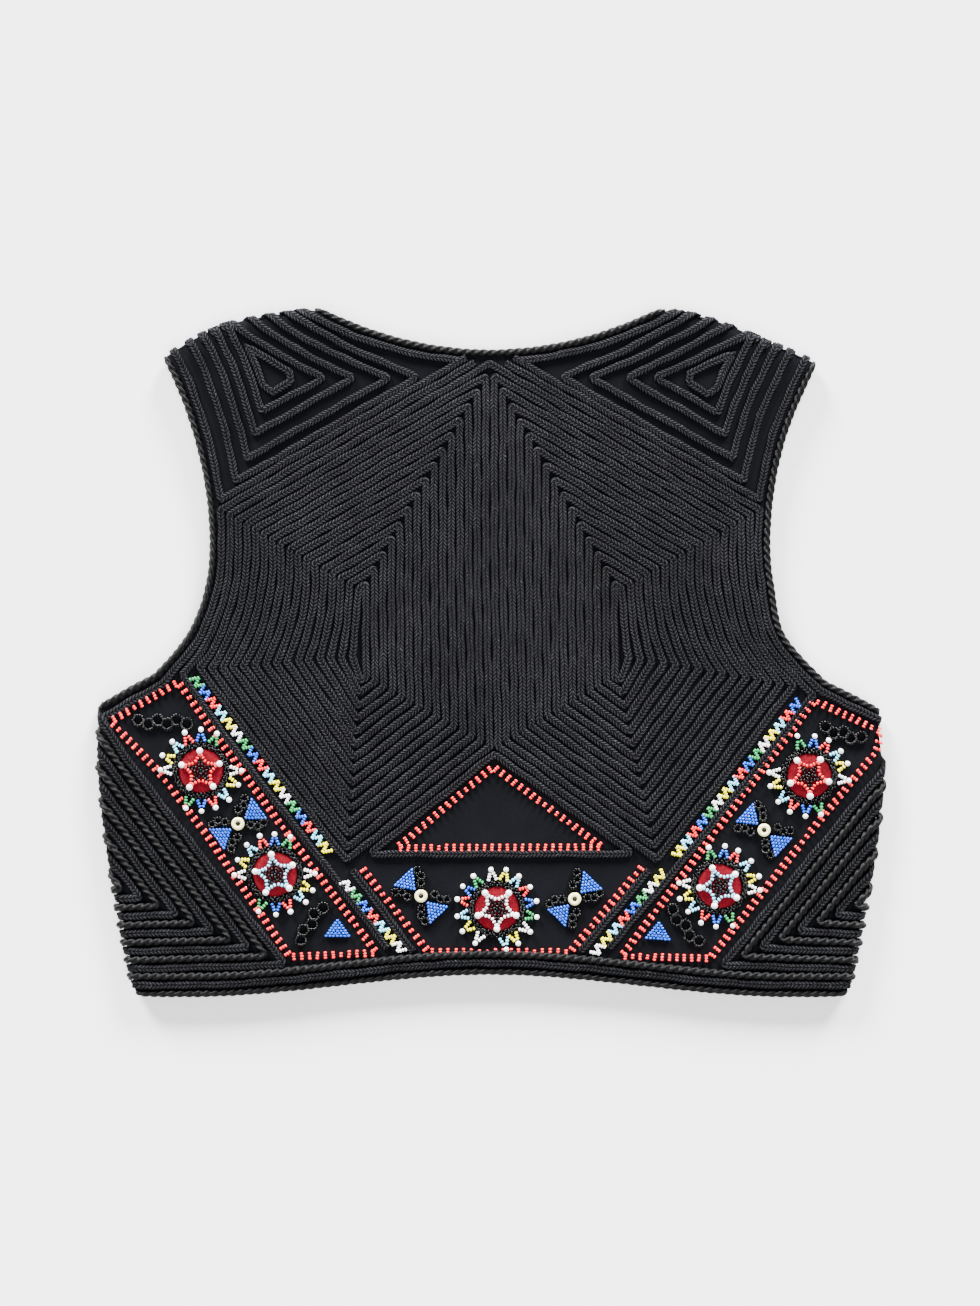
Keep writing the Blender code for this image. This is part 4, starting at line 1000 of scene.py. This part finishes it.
def cotton_braid():
    """Flat plaited cotton: two rows of slanted stitches that meet in a groove, matt, with small pale grey
    flecks, and painted shade that turns the stitches' low places, the groove and the edges almost black.
    """
    made, tree, shader = new_material("cotton braid")
    thread = bpy.context.scene.vest_cords.braid_colour
    times, plus = {"operation": "MULTIPLY"}, {"operation": "ADD"}
    uv = node(tree, "UVMap", {"uv_map": "cord"})["UV"]
    split = node(tree, "SeparateXYZ", {}, {"Vector": uv})
    coords = node(tree, "TexCoord")["Object"]
    fluff = node(tree, "TexNoise", {}, {"Vector": coords, "Scale": 1500.0, "Detail": 3.0})["Fac"]
    wear = node(tree, "TexNoise", {}, {"Vector": coords, "Scale": 40.0, "Detail": 4.0})["Fac"]
    across = node(tree, "Math", {"operation": "ABSOLUTE"}, {0: split["Y"]})[0]
    uneven = node(tree, "Math", times, {0: fluff, 1: 0.0006})[0]
    along = node(tree, "Math", plus, {0: split["X"], 1: across})[0]
    along = node(tree, "Math", plus, {0: along, 1: uneven})[0]
    # A stitch is 2.2 mm long
    phase = node(tree, "Math", times, {0: along, 1: math.pi / 0.0022})[0]
    wave = node(tree, "Math", {"operation": "SINE"}, {0: phase})[0]
    stitch = node(tree, "Math", {"operation": "ABSOLUTE"}, {0: wave})[0]
    groove = node(tree, "Math", {**times, "use_clamp": True}, {0: across, 1: 1500.0})[0]
    depth = node(tree, "Math", {"operation": "MULTIPLY_ADD"}, {0: groove, 1: 0.7, 2: 0.3})[0]
    # The stitches sink over the last 0.4 mm before each edge, where they are also painted darker as shade
    rim = node(tree, "Math", {"operation": "MULTIPLY_ADD", "use_clamp": True},
               {0: across, 1: -2500.0, 2: 6.1})[0]
    height = node(tree, "Math", times, {0: stitch, 1: depth})[0]
    height = node(tree, "Math", times, {0: height, 1: rim})[0]
    # Painted shade: the colour follows the stitches' height, so their low places, the middle groove and the
    # edges come out almost black
    tint = node(tree, "ValToRGB", {}, {"Fac": height},
                [(0.4, dimmed(thread, 0.01)), (0.75, dimmed(thread, 0.3)),
                 (1.0, dimmed(thread, 1.0))])["Color"]
    dust = node(tree, "ValToRGB", {}, {"Fac": wear},
                [(0.35, colour("#CECED0")), (0.7, colour("#FFFFFF"))])["Color"]
    shaded = node(tree, "Mix", {"data_type": "RGBA", "blend_type": "MULTIPLY"},
                  {0: 1.0, 6: tint, 7: dust})[2]
    # Small pale grey flecks, scattered by the fine noise, added to the braid's colour
    pale_flecks = node(tree, "ValToRGB", {}, {"Fac": fluff},
                [(0.64, colour("#000000")), (0.72, colour("#56565C"))])["Color"]
    lit = node(tree, "Mix", {"data_type": "RGBA", "blend_type": "ADD"}, {0: 0.6, 6: shaded, 7: pale_flecks})[2]
    relief = node(tree, "Math", {"operation": "MULTIPLY_ADD"}, {0: fluff, 1: 0.6, 2: height})[0]
    bump = node(tree, "Bump", {}, {"Strength": 0.8, "Distance": 0.0006, "Height": relief})["Normal"]
    set_inputs(tree, shader, {"Base Color": lit, "Roughness": 0.6, "IOR": 1.5, "Normal": bump,
                              "Specular IOR Level": 0.04})
    return made


def twisted_rayon():
    """Three lustrous strands laid round each other: black in the grooves, with a soft shine on each crown."""
    made, tree, shader = new_material("twisted rayon cord")
    strand = bpy.context.scene.vest_cords.twist_colour
    times = {"operation": "MULTIPLY"}
    uv = node(tree, "UVMap", {"uv_map": "cord"})["UV"]
    split = node(tree, "SeparateXYZ", {}, {"Vector": uv})
    # Threads are drawn 0.9 mm apart, so that they show
    round_it = node(tree, "Math", times, {0: split["Y"], 1: 2600.0})[0]
    phase = node(tree, "Math", {"operation": "MULTIPLY_ADD"}, {0: split["X"], 1: 7000.0, 2: round_it})[0]
    threads = node(tree, "Math", {"operation": "SINE"}, {0: phase})[0]
    coords = node(tree, "TexCoord")["Object"]
    fibre = node(tree, "TexNoise", {}, {"Vector": coords, "Scale": 1800.0, "Detail": 3.0})["Fac"]
    both = node(tree, "Math", {"operation": "MULTIPLY_ADD"}, {0: threads, 1: 0.35, 2: fibre})[0]
    bump = node(tree, "Bump", {}, {"Strength": 0.5, "Distance": 0.0003, "Height": both})["Normal"]
    tint = node(tree, "ValToRGB", {}, {"Fac": fibre},
                [(0.3, dimmed(strand, 0.3)), (0.7, dimmed(strand, 1.0))])["Color"]
    set_inputs(tree, shader, {"Base Color": tint, "Roughness": 0.42, "IOR": 1.5, "Normal": bump,
                              "Specular IOR Level": 0.09})
    return made


def wool_cloth():
    """Fulled wool: navy black, matt, with a fine felted grain and slow patches of lighter nap."""
    made, tree, shader = new_material("wool cloth")
    dye = bpy.context.scene.vest_cloth.cloth_colour
    coords = node(tree, "TexCoord")["Object"]
    grain = node(tree, "TexNoise", {}, {"Vector": coords, "Scale": 1400.0, "Detail": 4.0})["Fac"]
    patch = node(tree, "TexNoise", {}, {"Vector": coords, "Scale": 60.0, "Detail": 3.0})["Fac"]
    both = node(tree, "Mix", {}, {0: 0.4, 2: grain, 3: patch})[0]
    tint = node(tree, "ValToRGB", {}, {"Fac": both},
                [(0.3, dimmed(dye, 0.45)), (0.7, dimmed(dye, 1.0))])["Color"]
    bump = node(tree, "Bump", {}, {"Strength": 0.5, "Distance": 0.0003, "Height": grain})["Normal"]
    set_inputs(tree, shader, {"Base Color": tint, "Roughness": 0.95, "IOR": 1.5, "Normal": bump,
                              "Specular IOR Level": 0.06})
    return made


def mottled(name, noise, stops, finish, bump=()):
    """Finish whose colour follows a noise, which also raises it where a bump is given."""
    made, tree, shader = new_material(name)
    coords = node(tree, "TexCoord")["Object"]
    tone = node(tree, "TexNoise", {}, {"Vector": coords, **noise})["Fac"]
    tint = node(tree, "ValToRGB", {}, {"Fac": tone}, stops)["Color"]
    set_inputs(tree, shader, {"Base Color": tint, **finish})
    if bump:
        raised = node(tree, "Bump", {}, {**bump, "Height": tone})["Normal"]
        set_inputs(tree, shader, {"Normal": raised})
    return made


def red_felt():
    """Pressed wool felt: deep red, matt, with matted fibres in lighter and darker flecks."""
    dye = bpy.context.scene.vest_cloth.felt_colour
    return mottled("red felt", {"Scale": 900.0, "Detail": 5.0, "Distortion": 1.5},
                   [(0.3, dimmed(dye, 0.25)), (0.7, dimmed(dye, 1.0))],
                   {"Roughness": 0.95, "IOR": 1.5, "Specular IOR Level": 0.08},
                   {"Strength": 0.8, "Distance": 0.0005})


def bead_glass(name):
    """Opaque glass bead: full colour under a small sharp highlight, which is weaker on black."""
    kind = name.removesuffix(" glass").replace(" ", "_")
    glass = getattr(bpy.context.scene.vest_beads, kind)
    return mottled(name, {"Scale": 350.0, "Detail": 1.0},
                   [(0.3, dimmed(glass, 0.72)), (0.6, dimmed(glass, 1.0))],
                   {"Roughness": 0.16, "IOR": 1.52, "Specular IOR Level": 0.16 if kind == "black" else 0.4})


def pale_floor():
    """Smooth painted board: almost white and matt, so that it only takes the soft shadow."""
    return mottled("pale board", {"Scale": 3.0}, [(0.2, colour("#F8F8F8")), (0.8, colour("#FBFBFB"))],
                   {"Roughness": 0.9, "Specular IOR Level": 0.1})


MATERIAL_MAKERS = {
    "cotton braid": cotton_braid, "twisted rayon cord": twisted_rayon, "wool cloth": wool_cloth,
    "red felt": red_felt, "pale board": pale_floor,
}


def finish_of(name):
    """The named finish, made when it is first asked for."""
    found = bpy.data.materials.get(name)
    if found is None and name in MATERIAL_MAKERS:
        found = MATERIAL_MAKERS[name]()
    return found or bead_glass(name)


def cloth_piece(name, outline, lay, step, thickness, flip):
    """Sheet of cloth cut to an outline and laid by a function of its flat places."""
    turn = sum(a[0] * b[1] - b[0] * a[1] for a, b in zip(outline, outline[1:] + outline[:1]))
    rim = outline if turn > 0 else outline[::-1]
    ring = np.array(rim)
    xs = np.arange(ring[:, 0].min() + step / 2, ring[:, 0].max(), step)
    ys = np.arange(ring[:, 1].min() + step / 2, ring[:, 1].max(), step)
    inner = [p for p in np.stack(np.meshgrid(xs, ys), -1).reshape(-1, 2) if well_inside(p, ring, step * 0.4)]
    coords = [Vector(p) for p in rim] + [Vector(p) for p in inner]
    found = delaunay_2d_cdt(coords, [], [list(range(len(rim)))], 1, 0.004)
    flat = np.array([tuple(v) for v in found[0]])
    faces = [list(f) for f, owner in zip(found[2], found[5]) if owner]
    if flip:
        faces = [f[::-1] for f in faces]
    used = np.unique(np.array(faces))
    number = np.zeros(len(flat), int)
    number[used] = np.arange(len(used))
    faces = number[np.array(faces)].tolist()
    piece = mesh_piece(name, lay(flat[used, 0], flat[used, 1]), faces, [finish_of("wool cloth")])
    wall = piece.modifiers.new("thickness", "SOLIDIFY")
    wall.thickness, wall.offset = thickness, -1.0
    only(piece)
    bpy.ops.object.modifier_apply(modifier=wall.name)
    finished(piece, (name.replace("_cloth", ""),), 50.0)


def well_inside(p, ring, margin):
    """Whether a place is inside an outline and at least so far from it."""
    ahead = np.roll(ring, -1, axis=0)
    run, gap = ahead - ring, p - ring
    share = np.clip((gap * run).sum(1) / np.maximum((run**2).sum(1), 1e-9), 0, 1)
    near = np.sqrt(((gap - run * share[:, None]) ** 2).sum(1).min())
    spans = (ring[:, 1] > p[1]) != (ahead[:, 1] > p[1])
    cut = ring[spans, 0] + (p[1] - ring[spans, 1]) * run[spans, 0] / run[spans, 1]
    return (cut > p[0]).sum() % 2 and near > margin


class BeadSet:
    """Beads gathered into one piece, each with its place, the way of its thread and its colour."""

    def __init__(self, seed, width, pitch):
        self.rows, self.width, self.pitch = [], width / MM, pitch / MM
        self.level = CLOTH + self.width / 2
        self.rng = np.random.default_rng(seed)

    def add(self, x, y, h, way, name, size=1.0):
        self.rows.append((x, y, h, way, name, size))

    def row(self, middle, way, count, name):
        """Short straight run of beads on one stitch."""
        for i in range(count):
            reach = (i - (count - 1) / 2) * self.pitch * 1.02
            self.add(*polar(middle, reach, way), self.level, way, name)

    def string(self, path, name, h=None, closed=False, count=None):
        """Beads threaded along a path."""
        path = np.array(path, float)
        if closed:
            path = np.vstack([path, path[:1]])
        at = lengths_along(path)
        count = count or max(1, round(at[-1] / self.pitch))
        places = (np.arange(count) + 0.5) * at[-1] / count
        for s in places:
            i = min(int(np.searchsorted(at, s, "right")) - 1, len(path) - 2)
            share = (s - at[i]) / max(at[i + 1] - at[i], 1e-9)
            x, y = path[i] + (path[i + 1] - path[i]) * share
            way = math.atan2(*(path[i + 1] - path[i])[::-1])
            self.add(x, y, self.level if h is None else h, way, name)

    def piece(self, name, shape):
        """Joined copies of one bead shape, whose thread runs along X."""
        shape_points, shape_faces = shape
        colours = sorted({r[4] for r in self.rows})
        u, y, h = (np.array([r[k] for r in self.rows]) for k in range(3))
        count = len(self.rows)
        u, y = u + self.rng.normal(0, 0.07, count), y + self.rng.normal(0, 0.07, count)
        middles = place(*before_settling(u, y), h + self.rng.normal(0, 0.05, count))
        ways = np.array([r[3] for r in self.rows]) + self.rng.normal(0, 0.08, count)
        sizes = np.array([r[5] for r in self.rows]) * self.rng.normal(1.0, 0.03, count) / MM
        local = shape_points[None] * sizes[:, None, None]
        x = local[..., 0] * np.cos(ways)[:, None] - local[..., 1] * np.sin(ways)[:, None]
        across = local[..., 0] * np.sin(ways)[:, None] + local[..., 1] * np.cos(ways)[:, None]
        points = np.stack([x, across, local[..., 2]], -1) + middles[:, None]
        faces, slots = [], []
        for k, row in enumerate(self.rows):
            base = k * len(shape_points)
            faces += [[base + i for i in f] for f in shape_faces]
            slots += [colours.index(row[4])] * len(shape_faces)
        finishes = [finish_of(f"{c.replace('_', ' ')} glass") for c in colours]
        finished(mesh_piece(name, points.reshape(-1, 3), faces, finishes, slots=slots), angle=75.0)


def shape_of(piece):
    """Points and faces of a modelled bead, which is then cleared away."""
    points = np.array([tuple(v.co) for v in piece.data.vertices])
    faces = [list(p.vertices) for p in piece.data.polygons]
    bpy.data.objects.remove(piece)
    return points, faces


def seed_bead(width):
    """Round-shouldered glass bead, threaded along X."""
    bpy.ops.mesh.primitive_cylinder_add(vertices=8, radius=width / 2, depth=width * BEAD_LENGTH,
                                        rotation=(0, math.pi / 2, 0))
    bead = bpy.context.object
    bpy.ops.object.transform_apply(location=False, rotation=True, scale=False)
    bpy.ops.object.mode_set(mode="EDIT")
    bpy.ops.mesh.select_all(action="DESELECT")
    bpy.ops.object.mode_set(mode="OBJECT")
    end = width * BEAD_LENGTH / 2
    for edge in bead.data.edges:
        a, b = (bead.data.vertices[i].co.x for i in edge.vertices)
        edge.select = abs(a - b) < 1e-7 and abs(abs(a) - end) < 1e-6
    bpy.ops.object.mode_set(mode="EDIT")
    bpy.ops.mesh.select_mode(type="EDGE")
    bpy.ops.mesh.bevel(offset=width * BEAD_BEVEL, segments=1)
    bpy.ops.object.mode_set(mode="OBJECT")
    turn_outwards(bead)
    return shape_of(bead)


def round_bead():
    """Small glass pearl, one unit wide."""
    bpy.ops.mesh.primitive_ico_sphere_add(subdivisions=2, radius=0.5 * MM)
    return shape_of(bpy.context.object)


def facing(a, b):
    return math.atan2(b[1] - a[1], b[0] - a[0])


def dashes(beads, path, pitch, rng, name):
    """Row of short stitches set square to a line."""
    for a, b in zip(path, path[1:]):
        a, b = np.array(a), np.array(b)
        count = max(1, round(np.linalg.norm(b - a) / pitch))
        for i in range(count):
            middle = a + (b - a) * (i + 0.5) / count
            stitch = 2 if rng.uniform() < 0.15 else 3
            beads.row(middle, facing(a, b) + math.pi / 2 + rng.normal(0, 0.09), stitch, name)


def along(start, end):
    """Start of a straight line, its way, the way square to that, and its length."""
    a, b = np.array(start), np.array(end)
    length = np.linalg.norm(b - a)
    run = (b - a) / length
    return a, run, np.array([-run[1], run[0]]), length


def zigzag(beads, size):
    """Strokes of a wave, three to a colour."""
    a, run, across, length = along(size["start"], size["end"])
    strokes = size["groups"] * 3
    step = length / strokes
    for k in range(strokes):
        name = ZIGZAG_COLOURS[(size["first"] + k // 3) % len(ZIGZAG_COLOURS)]
        sign = 1 if k % 2 else -1
        start = a + run * step * k + across * ZIGZAG_REACH * sign
        end = a + run * step * (k + 1) - across * ZIGZAG_REACH * sign
        beads.row((start + end) / 2, facing(start, end), 4, name)


def polar(middle, radius, angle):
    return np.array([middle[0] + radius * math.cos(angle), middle[1] + radius * math.sin(angle)])


def star(beads, pearls, size, rng):
    """Medallion round a felt disc: a star, a scalloped ring, and a crown of loops tipped with pearls."""
    at, felt, cloth = size["at"], CLOTH + FELT_TOP + beads.width / 2, beads.level
    turn = math.radians(size["turn"])
    for k in range(5):
        angle = turn + math.tau * k / 5
        tip = polar(at, STAR_TIP, angle)
        for sign in (-1, 1):
            notch = polar(at, STAR_NOTCH, angle + sign * math.pi / 5)
            near, far = tip + (notch - tip) * 0.03, notch + (tip - notch) * 0.04
            beads.string([far, near], size["star"], felt + STITCHED_UP, count=3)
        for radius, spread in STAR_FILL:
            for turned in spread:
                beads.add(*polar(at, radius, angle + turned), felt, angle + 1.4 * turned, "black")
        pearls.add(*polar(at, STAR_PEARL["radius"], angle), felt + 0.6, 0.0, "white", STAR_PEARL["width"])
        beads.add(*polar(at, STAR_MIDDLE, angle + 0.6), felt + STITCHED_UP, angle, "black")
    beads.add(*at, felt + STITCHED_UP, 0.3, "black")
    for radius, wave, count, phase in SCALLOPS:
        ring = [polar(at, radius + wave * math.cos(16 * a + phase), a)
                for a in np.linspace(0, math.tau, 97)[:-1]]
        beads.string(ring, "black", cloth + 0.5 * phase, closed=True, count=count)
    for k, letter in enumerate(size["crown"]):
        if letter == "-":
            continue
        angle = math.radians(size["first"] + size["way"] * 22.5 * k) + rng.normal(0, 0.02)
        for sign in (-1, 1):
            base, tip = polar(at, CROWN_BASE, angle + sign * 0.15), polar(at, CROWN_TIP, angle + sign * 0.035)
            beads.string([base, tip], CROWN_COLOURS[letter], cloth + STITCHED_UP, count=3)
        reach = CROWN_PEARL["radius"] + rng.normal(0, 0.3)
        pearls.add(*polar(at, reach, angle), CLOTH + 1.6, 0.0, "white", CROWN_PEARL["width"])


def bead_triangle(beads, tip, angle, rows=7):
    """Filled triangle of rows that grow away from its tip."""
    ahead = np.array([math.cos(angle), math.sin(angle)])
    across = np.array([-math.sin(angle), math.cos(angle)])
    for k in range(rows):
        for j in range(k + 1):
            where = np.array(tip) + ahead * (1.0 + k * beads.pitch)
            where = where + across * (j - k / 2) * beads.width * 0.97
            beads.add(*where, beads.level, angle, "blue")


def loop_chain(beads, start, end, size, rng):
    """Curled chain of small black loops."""
    a, run, across, length = along(start, end)
    count = max(1, round(length / (size * 1.75)))
    for k in range(count):
        middle = a + run * length * (k + 0.5) / count + across * (0.35 * size * (-1) ** k)
        ring = [polar(middle, size * rng.uniform(0.9, 1.1), t) for t in np.linspace(0, math.tau, 13)[:-1]]
        beads.string(ring, "black", closed=True)


def bow(beads, size, rng):
    """Two blue triangles with their tips at a pale ring, and black scallops beside them."""
    at, angle = size["at"], math.radians(size["turn"])
    for way in (angle, angle + math.pi):
        bead_triangle(beads, polar(at, 5.0, way), way)
        for sign in (-1, 1):
            start, end = polar(at, 6.2, way + sign * 0.95), polar(at, 17.5, way + sign * 0.62)
            loop_chain(beads, start, end, BOW_LOOP, rng)
    beads.add(*at, CLOTH + 1.6, 0.0, "black")


class VEST_OT_cloth(bpy.types.Operator):
    """Cuts and lays the five pieces of wool cloth"""
    bl_idname = "vest.cloth"
    bl_label = "Lay the cloth"

    def execute(self, context):
        sizes = context.scene.vest_cloth
        step = sizes.mesh_step / MM
        outline = back_half_outline(1)[:-1] + [(-x, y) for x, y in reversed(back_half_outline(-1)[1:])]
        cloth_piece("back_cloth", outline, lambda u, y: place(u, y, CLOTH), step, sizes.thickness, False)
        for side, word in ((-1, "left"), (1, "right")):
            cloth_piece(f"side_{word}_cloth", side_outline(side),
                        lambda u, y, s=side: place(u * s, y, cloth_top(u, y)),
                        SIDE_MESH_STEP, sizes.thickness, side < 0)
            cloth_piece(f"front_{word}_cloth", front_outline(side),
                        lambda x, y, s=side: place_front(x * s, y, front_top(x, y)),
                        step, sizes.thickness, side > 0)
        return {"FINISHED"}


class VEST_OT_braids(bpy.types.Operator):
    """Sews the flat braid on the back, the sides and over the hem"""
    bl_idname = "vest.braids"
    bl_label = "Sew the braid"

    def execute(self, context):
        sizes = context.scene.vest_cords
        width, height = sizes.braid_width / MM, sizes.braid_height / MM
        row_height = sizes.row_braid_height / MM
        finish = finish_of("cotton braid")
        for side, word in ((-1, "left"), (1, "right")):
            web = CordSet(SEEDS["web"] + side)
            for ring in range(WEB_RINGS):
                web.braid(laid(web_ring((ring + 0.5) / WEB_SPAN, side), side), width, height, closed=True,
                          reach=0.9)
            finished(web.piece(f"web_{word}", finish))
            singles = CordSet(SEEDS["braids"] + side)
            arm = before(armhole(ARM_CORD), yoke)
            paths = [arm + [(14.0, yoke_y(0.0, 14.0))], yoke_cord(1, side),
                     after(neck(NECK_CORD), lambda p: p[0] - NECK_CORD_START)]
            paths += [shoulder_cord(size) for size in SHOULDER_CORDS]
            paths.append([(band_x(PANEL_CORD, y, side), y) for y in (-130.0, -179.0)])
            for path in paths:
                singles.braid(laid(path, side), width, height)
            singles.braid(laid(SHOULDER_HEART + SHOULDER_HEART[:1], side), width, height, closed=True)
            for number in range(0, CHEVRONS, 2):
                path = side_row(number, side)
                if path:
                    singles.braid(path, width + ROW_BRAID_WIDER, row_height)
            finished(singles.piece(f"braids_{word}", finish))
        middle = CordSet(SEEDS["middle"])
        right, left = laid(yoke_cord(2, 1), 1), laid(yoke_cord(2, -1), -1)
        middle.braid(left[:0:-1] + right, width, height)
        corner = peak_x(PEAK_CORD, PEAK_BASE_Y)
        triangle = [(0.0, PEAK_BASE_Y), (corner, PEAK_BASE_Y), (0.0, -(PEAK_ORIGIN + PEAK_CORD) / PEAK_SIN),
                    (-corner, PEAK_BASE_Y), (0.0, PEAK_BASE_Y)]
        middle.braid(laid(triangle, 1), width, height, closed=True)
        middle.braid(hem_row("braid"), width + ROW_BRAID_WIDER, row_height)
        finished(middle.piece("braids_middle", finish))
        return {"FINISHED"}


class VEST_OT_twisted_cords(bpy.types.Operator):
    """Sews the twisted cords on the sides and hem, and the edging round every edge"""
    bl_idname = "vest.twisted_cords"
    bl_label = "Sew the twisted cord"

    def execute(self, context):
        pitch = context.scene.vest_cords.strand_pitch / MM
        finish = finish_of("twisted rayon cord")
        for side, word in ((-1, "left"), (1, "right")):
            rows = CordSet(SEEDS["rows"] + side)
            for number in range(1, CHEVRONS, 2):
                path = side_row(number, side)
                if path:
                    rows.twist(on_cloth(path, **ROW_TWIST), pitch)
            finished(rows.piece(f"twisted_cords_{word}", finish))
            edge = CordSet(SEEDS["armhole"] + side)
            edge.twist(armhole_edge() * [side, 1, 1, 1], pitch, closed=True)
            finished(edge.piece(f"armhole_cord_{word}", finish), (f"armhole_edging_{word}",))
        row = CordSet(SEEDS["hem_row"])
        row.twist(on_cloth(hem_row("twisted"), **HEM_TWIST), pitch)
        finished(row.piece("hem_row_cord", finish))
        for name, line in (("neck", neck_edge()), ("hem", hem_edge_line())):
            edge = CordSet(SEEDS[name])
            edge.twist(line, pitch)
            finished(edge.piece(f"{name}_cord", finish), (f"{name}_edging",))
        return {"FINISHED"}


class VEST_OT_felt(bpy.types.Operator):
    """Cuts the five felt discs under the stars"""
    bl_idname = "vest.felt"
    bl_label = "Cut the felt"

    def execute(self, context):
        for number, size in enumerate(STARS):
            rng = np.random.default_rng(SEEDS["felt"] + number)
            angles = np.linspace(0, math.tau, FELT_STEPS + 1)[:-1]
            ragged = 1 + 0.012 * rng.normal(size=FELT_STEPS) + 0.01 * np.sin(3 * angles + number)
            rings = []
            for radius, h in FELT_PROFILE:
                r = radius * ragged
                x, y = before_settling(size["at"][0] + r * np.cos(angles), size["at"][1] + r * np.sin(angles))
                rings.append(place(x, y, h + 0.06 * rng.normal(size=FELT_STEPS) * (radius > 1)))
            points = np.array(rings).reshape(-1, 3)
            index = np.arange(len(points)).reshape(len(FELT_PROFILE), FELT_STEPS)
            faces = []
            for a, b in zip(index, index[1:]):
                faces += np.stack([a, np.roll(a, -1), np.roll(b, -1), b], -1).tolist()
            piece = mesh_piece(f"felt_{size['disc']}", points, faces, [finish_of("red felt")])
            turn_outwards(piece, weld=0.02 * MM)
            finished(piece, (f"disc_{size['disc']}",))
        return {"FINISHED"}


class VEST_OT_beads(bpy.types.Operator):
    """Sews on the glass beads and the pale rings"""
    bl_idname = "vest.beads"
    bl_label = "Sew the beads"

    def execute(self, context):
        sizes = context.scene.vest_beads
        seed, pearl = seed_bead(sizes.bead_width), round_bead()

        def new_set(number):
            return BeadSet(number, sizes.bead_width, sizes.bead_pitch)

        rng = np.random.default_rng(SEEDS["stitches"])
        for number, (name, path) in enumerate(BORDERS.items()):
            beads = new_set(SEEDS["borders"] + number)
            dashes(beads, path, DASH_PITCH, rng, "red")
            beads.piece(f"border_{name}", seed)
        beads = new_set(SEEDS["zigzags"])
        for size in ZIGZAGS:
            zigzag(beads, size)
        beads.piece("zigzag_beads", seed)
        beads, pearls = new_set(SEEDS["stars"]), new_set(SEEDS["pearls"])
        for size in STARS:
            star(beads, pearls, size, rng)
        beads.piece("star_beads", seed)
        pearls.piece("star_pearls", pearl)
        beads = new_set(SEEDS["figures"])
        for size in BOWS:
            bow(beads, size, rng)
        for size in TRIANGLES:
            bead_triangle(beads, size["tip"], math.radians(size["turn"]))
        for size in CHAINS:
            loop_chain(beads, size["start"], size["end"], CHAIN_LOOP, rng)
        beads.piece("figure_beads", seed)
        for number, size in enumerate(BOWS):
            x, y = before_settling(*size["at"])
            where = (moved_to_lie(place(x, y, CLOTH + PALE_RING["wire"])) - CENTRE) * MM
            bpy.ops.mesh.primitive_torus_add(location=where, major_segments=24, minor_segments=8,
                                             major_radius=PALE_RING["radius"] * MM,
                                             minor_radius=PALE_RING["wire"] * MM)
            ring = bpy.context.object
            ring.name = f"pale_ring_{number + 1}"
            bpy.ops.object.transform_apply(location=True, rotation=False, scale=False)
            ring.data.materials.append(finish_of("cream glass"))
            finished(ring, angle=80.0)
        return {"FINISHED"}


class VEST_OT_stage(bpy.types.Operator):
    """Sets the floor, the lights and the camera"""
    bl_idname = "vest.stage"
    bl_label = "Set the stage"

    def execute(self, context):
        bpy.ops.mesh.primitive_plane_add(size=6.0, location=(0, 0, FLOOR_Z))
        floor = context.object
        floor.name = "floor"
        bpy.ops.object.transform_apply(location=True, rotation=False, scale=False)
        floor.data.materials.append(finish_of("pale board"))
        # Distant soft boxes as lamps of a wide angle, so that the floor is lit evenly: the two low ones
        # behind the neck rake over the cords and leave the soft shadow under the hem
        for name, azimuth, height, angle, strength in LIGHTS:
            bpy.ops.object.light_add(type="SUN", location=(0, 0, 2.5))
            light = context.object
            light.name = name
            light.data.energy, light.data.angle = strength, math.radians(angle)
            light.rotation_euler = (0.0, math.radians(90.0 - height), math.radians(azimuth))
        world = bpy.data.worlds.new("soft daylight")
        world.use_nodes = True
        set_inputs(world.node_tree, world.node_tree.nodes["Background"],
                   {"Color": (1.0, 1.0, 1.0, 1.0), "Strength": SKY})
        context.scene.world = world
        lens = bpy.data.cameras.new("camera")
        lens.lens, lens.sensor_width, lens.sensor_height, lens.sensor_fit = 85.0, 27.0, 36.0, "VERTICAL"
        camera = bpy.data.objects.new("camera", lens)
        camera.location = (-CENTRE[0] * MM, -CENTRE[1] * MM, CAMERA_Z)
        context.scene.collection.objects.link(camera)
        context.scene.camera = camera
        return {"FINISHED"}


class VEST_PT_panel(bpy.types.Panel):
    """Lists the vest's sizes and steps"""
    bl_label = "Vest"
    bl_idname = "VEST_PT_panel"
    bl_space_type = "VIEW_3D"
    bl_region_type = "UI"
    bl_category = "Vest"

    def draw(self, context):
        for group in (context.scene.vest_cloth, context.scene.vest_cords, context.scene.vest_beads):
            for name in group.bl_rna.properties.keys():
                if name not in ("rna_type", "name"):
                    self.layout.prop(group, name)
        for operator in OPERATORS:
            self.layout.operator(operator.bl_idname)


OPERATORS = (VEST_OT_cloth, VEST_OT_braids, VEST_OT_twisted_cords, VEST_OT_felt, VEST_OT_beads,
             VEST_OT_stage)
GROUPS = {"vest_cords": VestCordSettings, "vest_cloth": VestClothSettings, "vest_beads": VestBeadSettings}


def register():
    for item in (*GROUPS.values(), *OPERATORS, VEST_PT_panel):
        bpy.utils.register_class(item)
    for name, group in GROUPS.items():
        setattr(bpy.types.Scene, name, bpy.props.PointerProperty(type=group))


def unregister():
    for name in GROUPS:
        delattr(bpy.types.Scene, name)
    for item in (VEST_PT_panel, *reversed(OPERATORS), *reversed(GROUPS.values())):
        bpy.utils.unregister_class(item)


def main():
    register()
    bpy.ops.vest.cloth()
    bpy.ops.vest.braids()
    bpy.ops.vest.twisted_cords()
    bpy.ops.vest.felt()
    bpy.ops.vest.beads()
    bpy.ops.vest.stage()


if __name__ == "__main__":
    main()
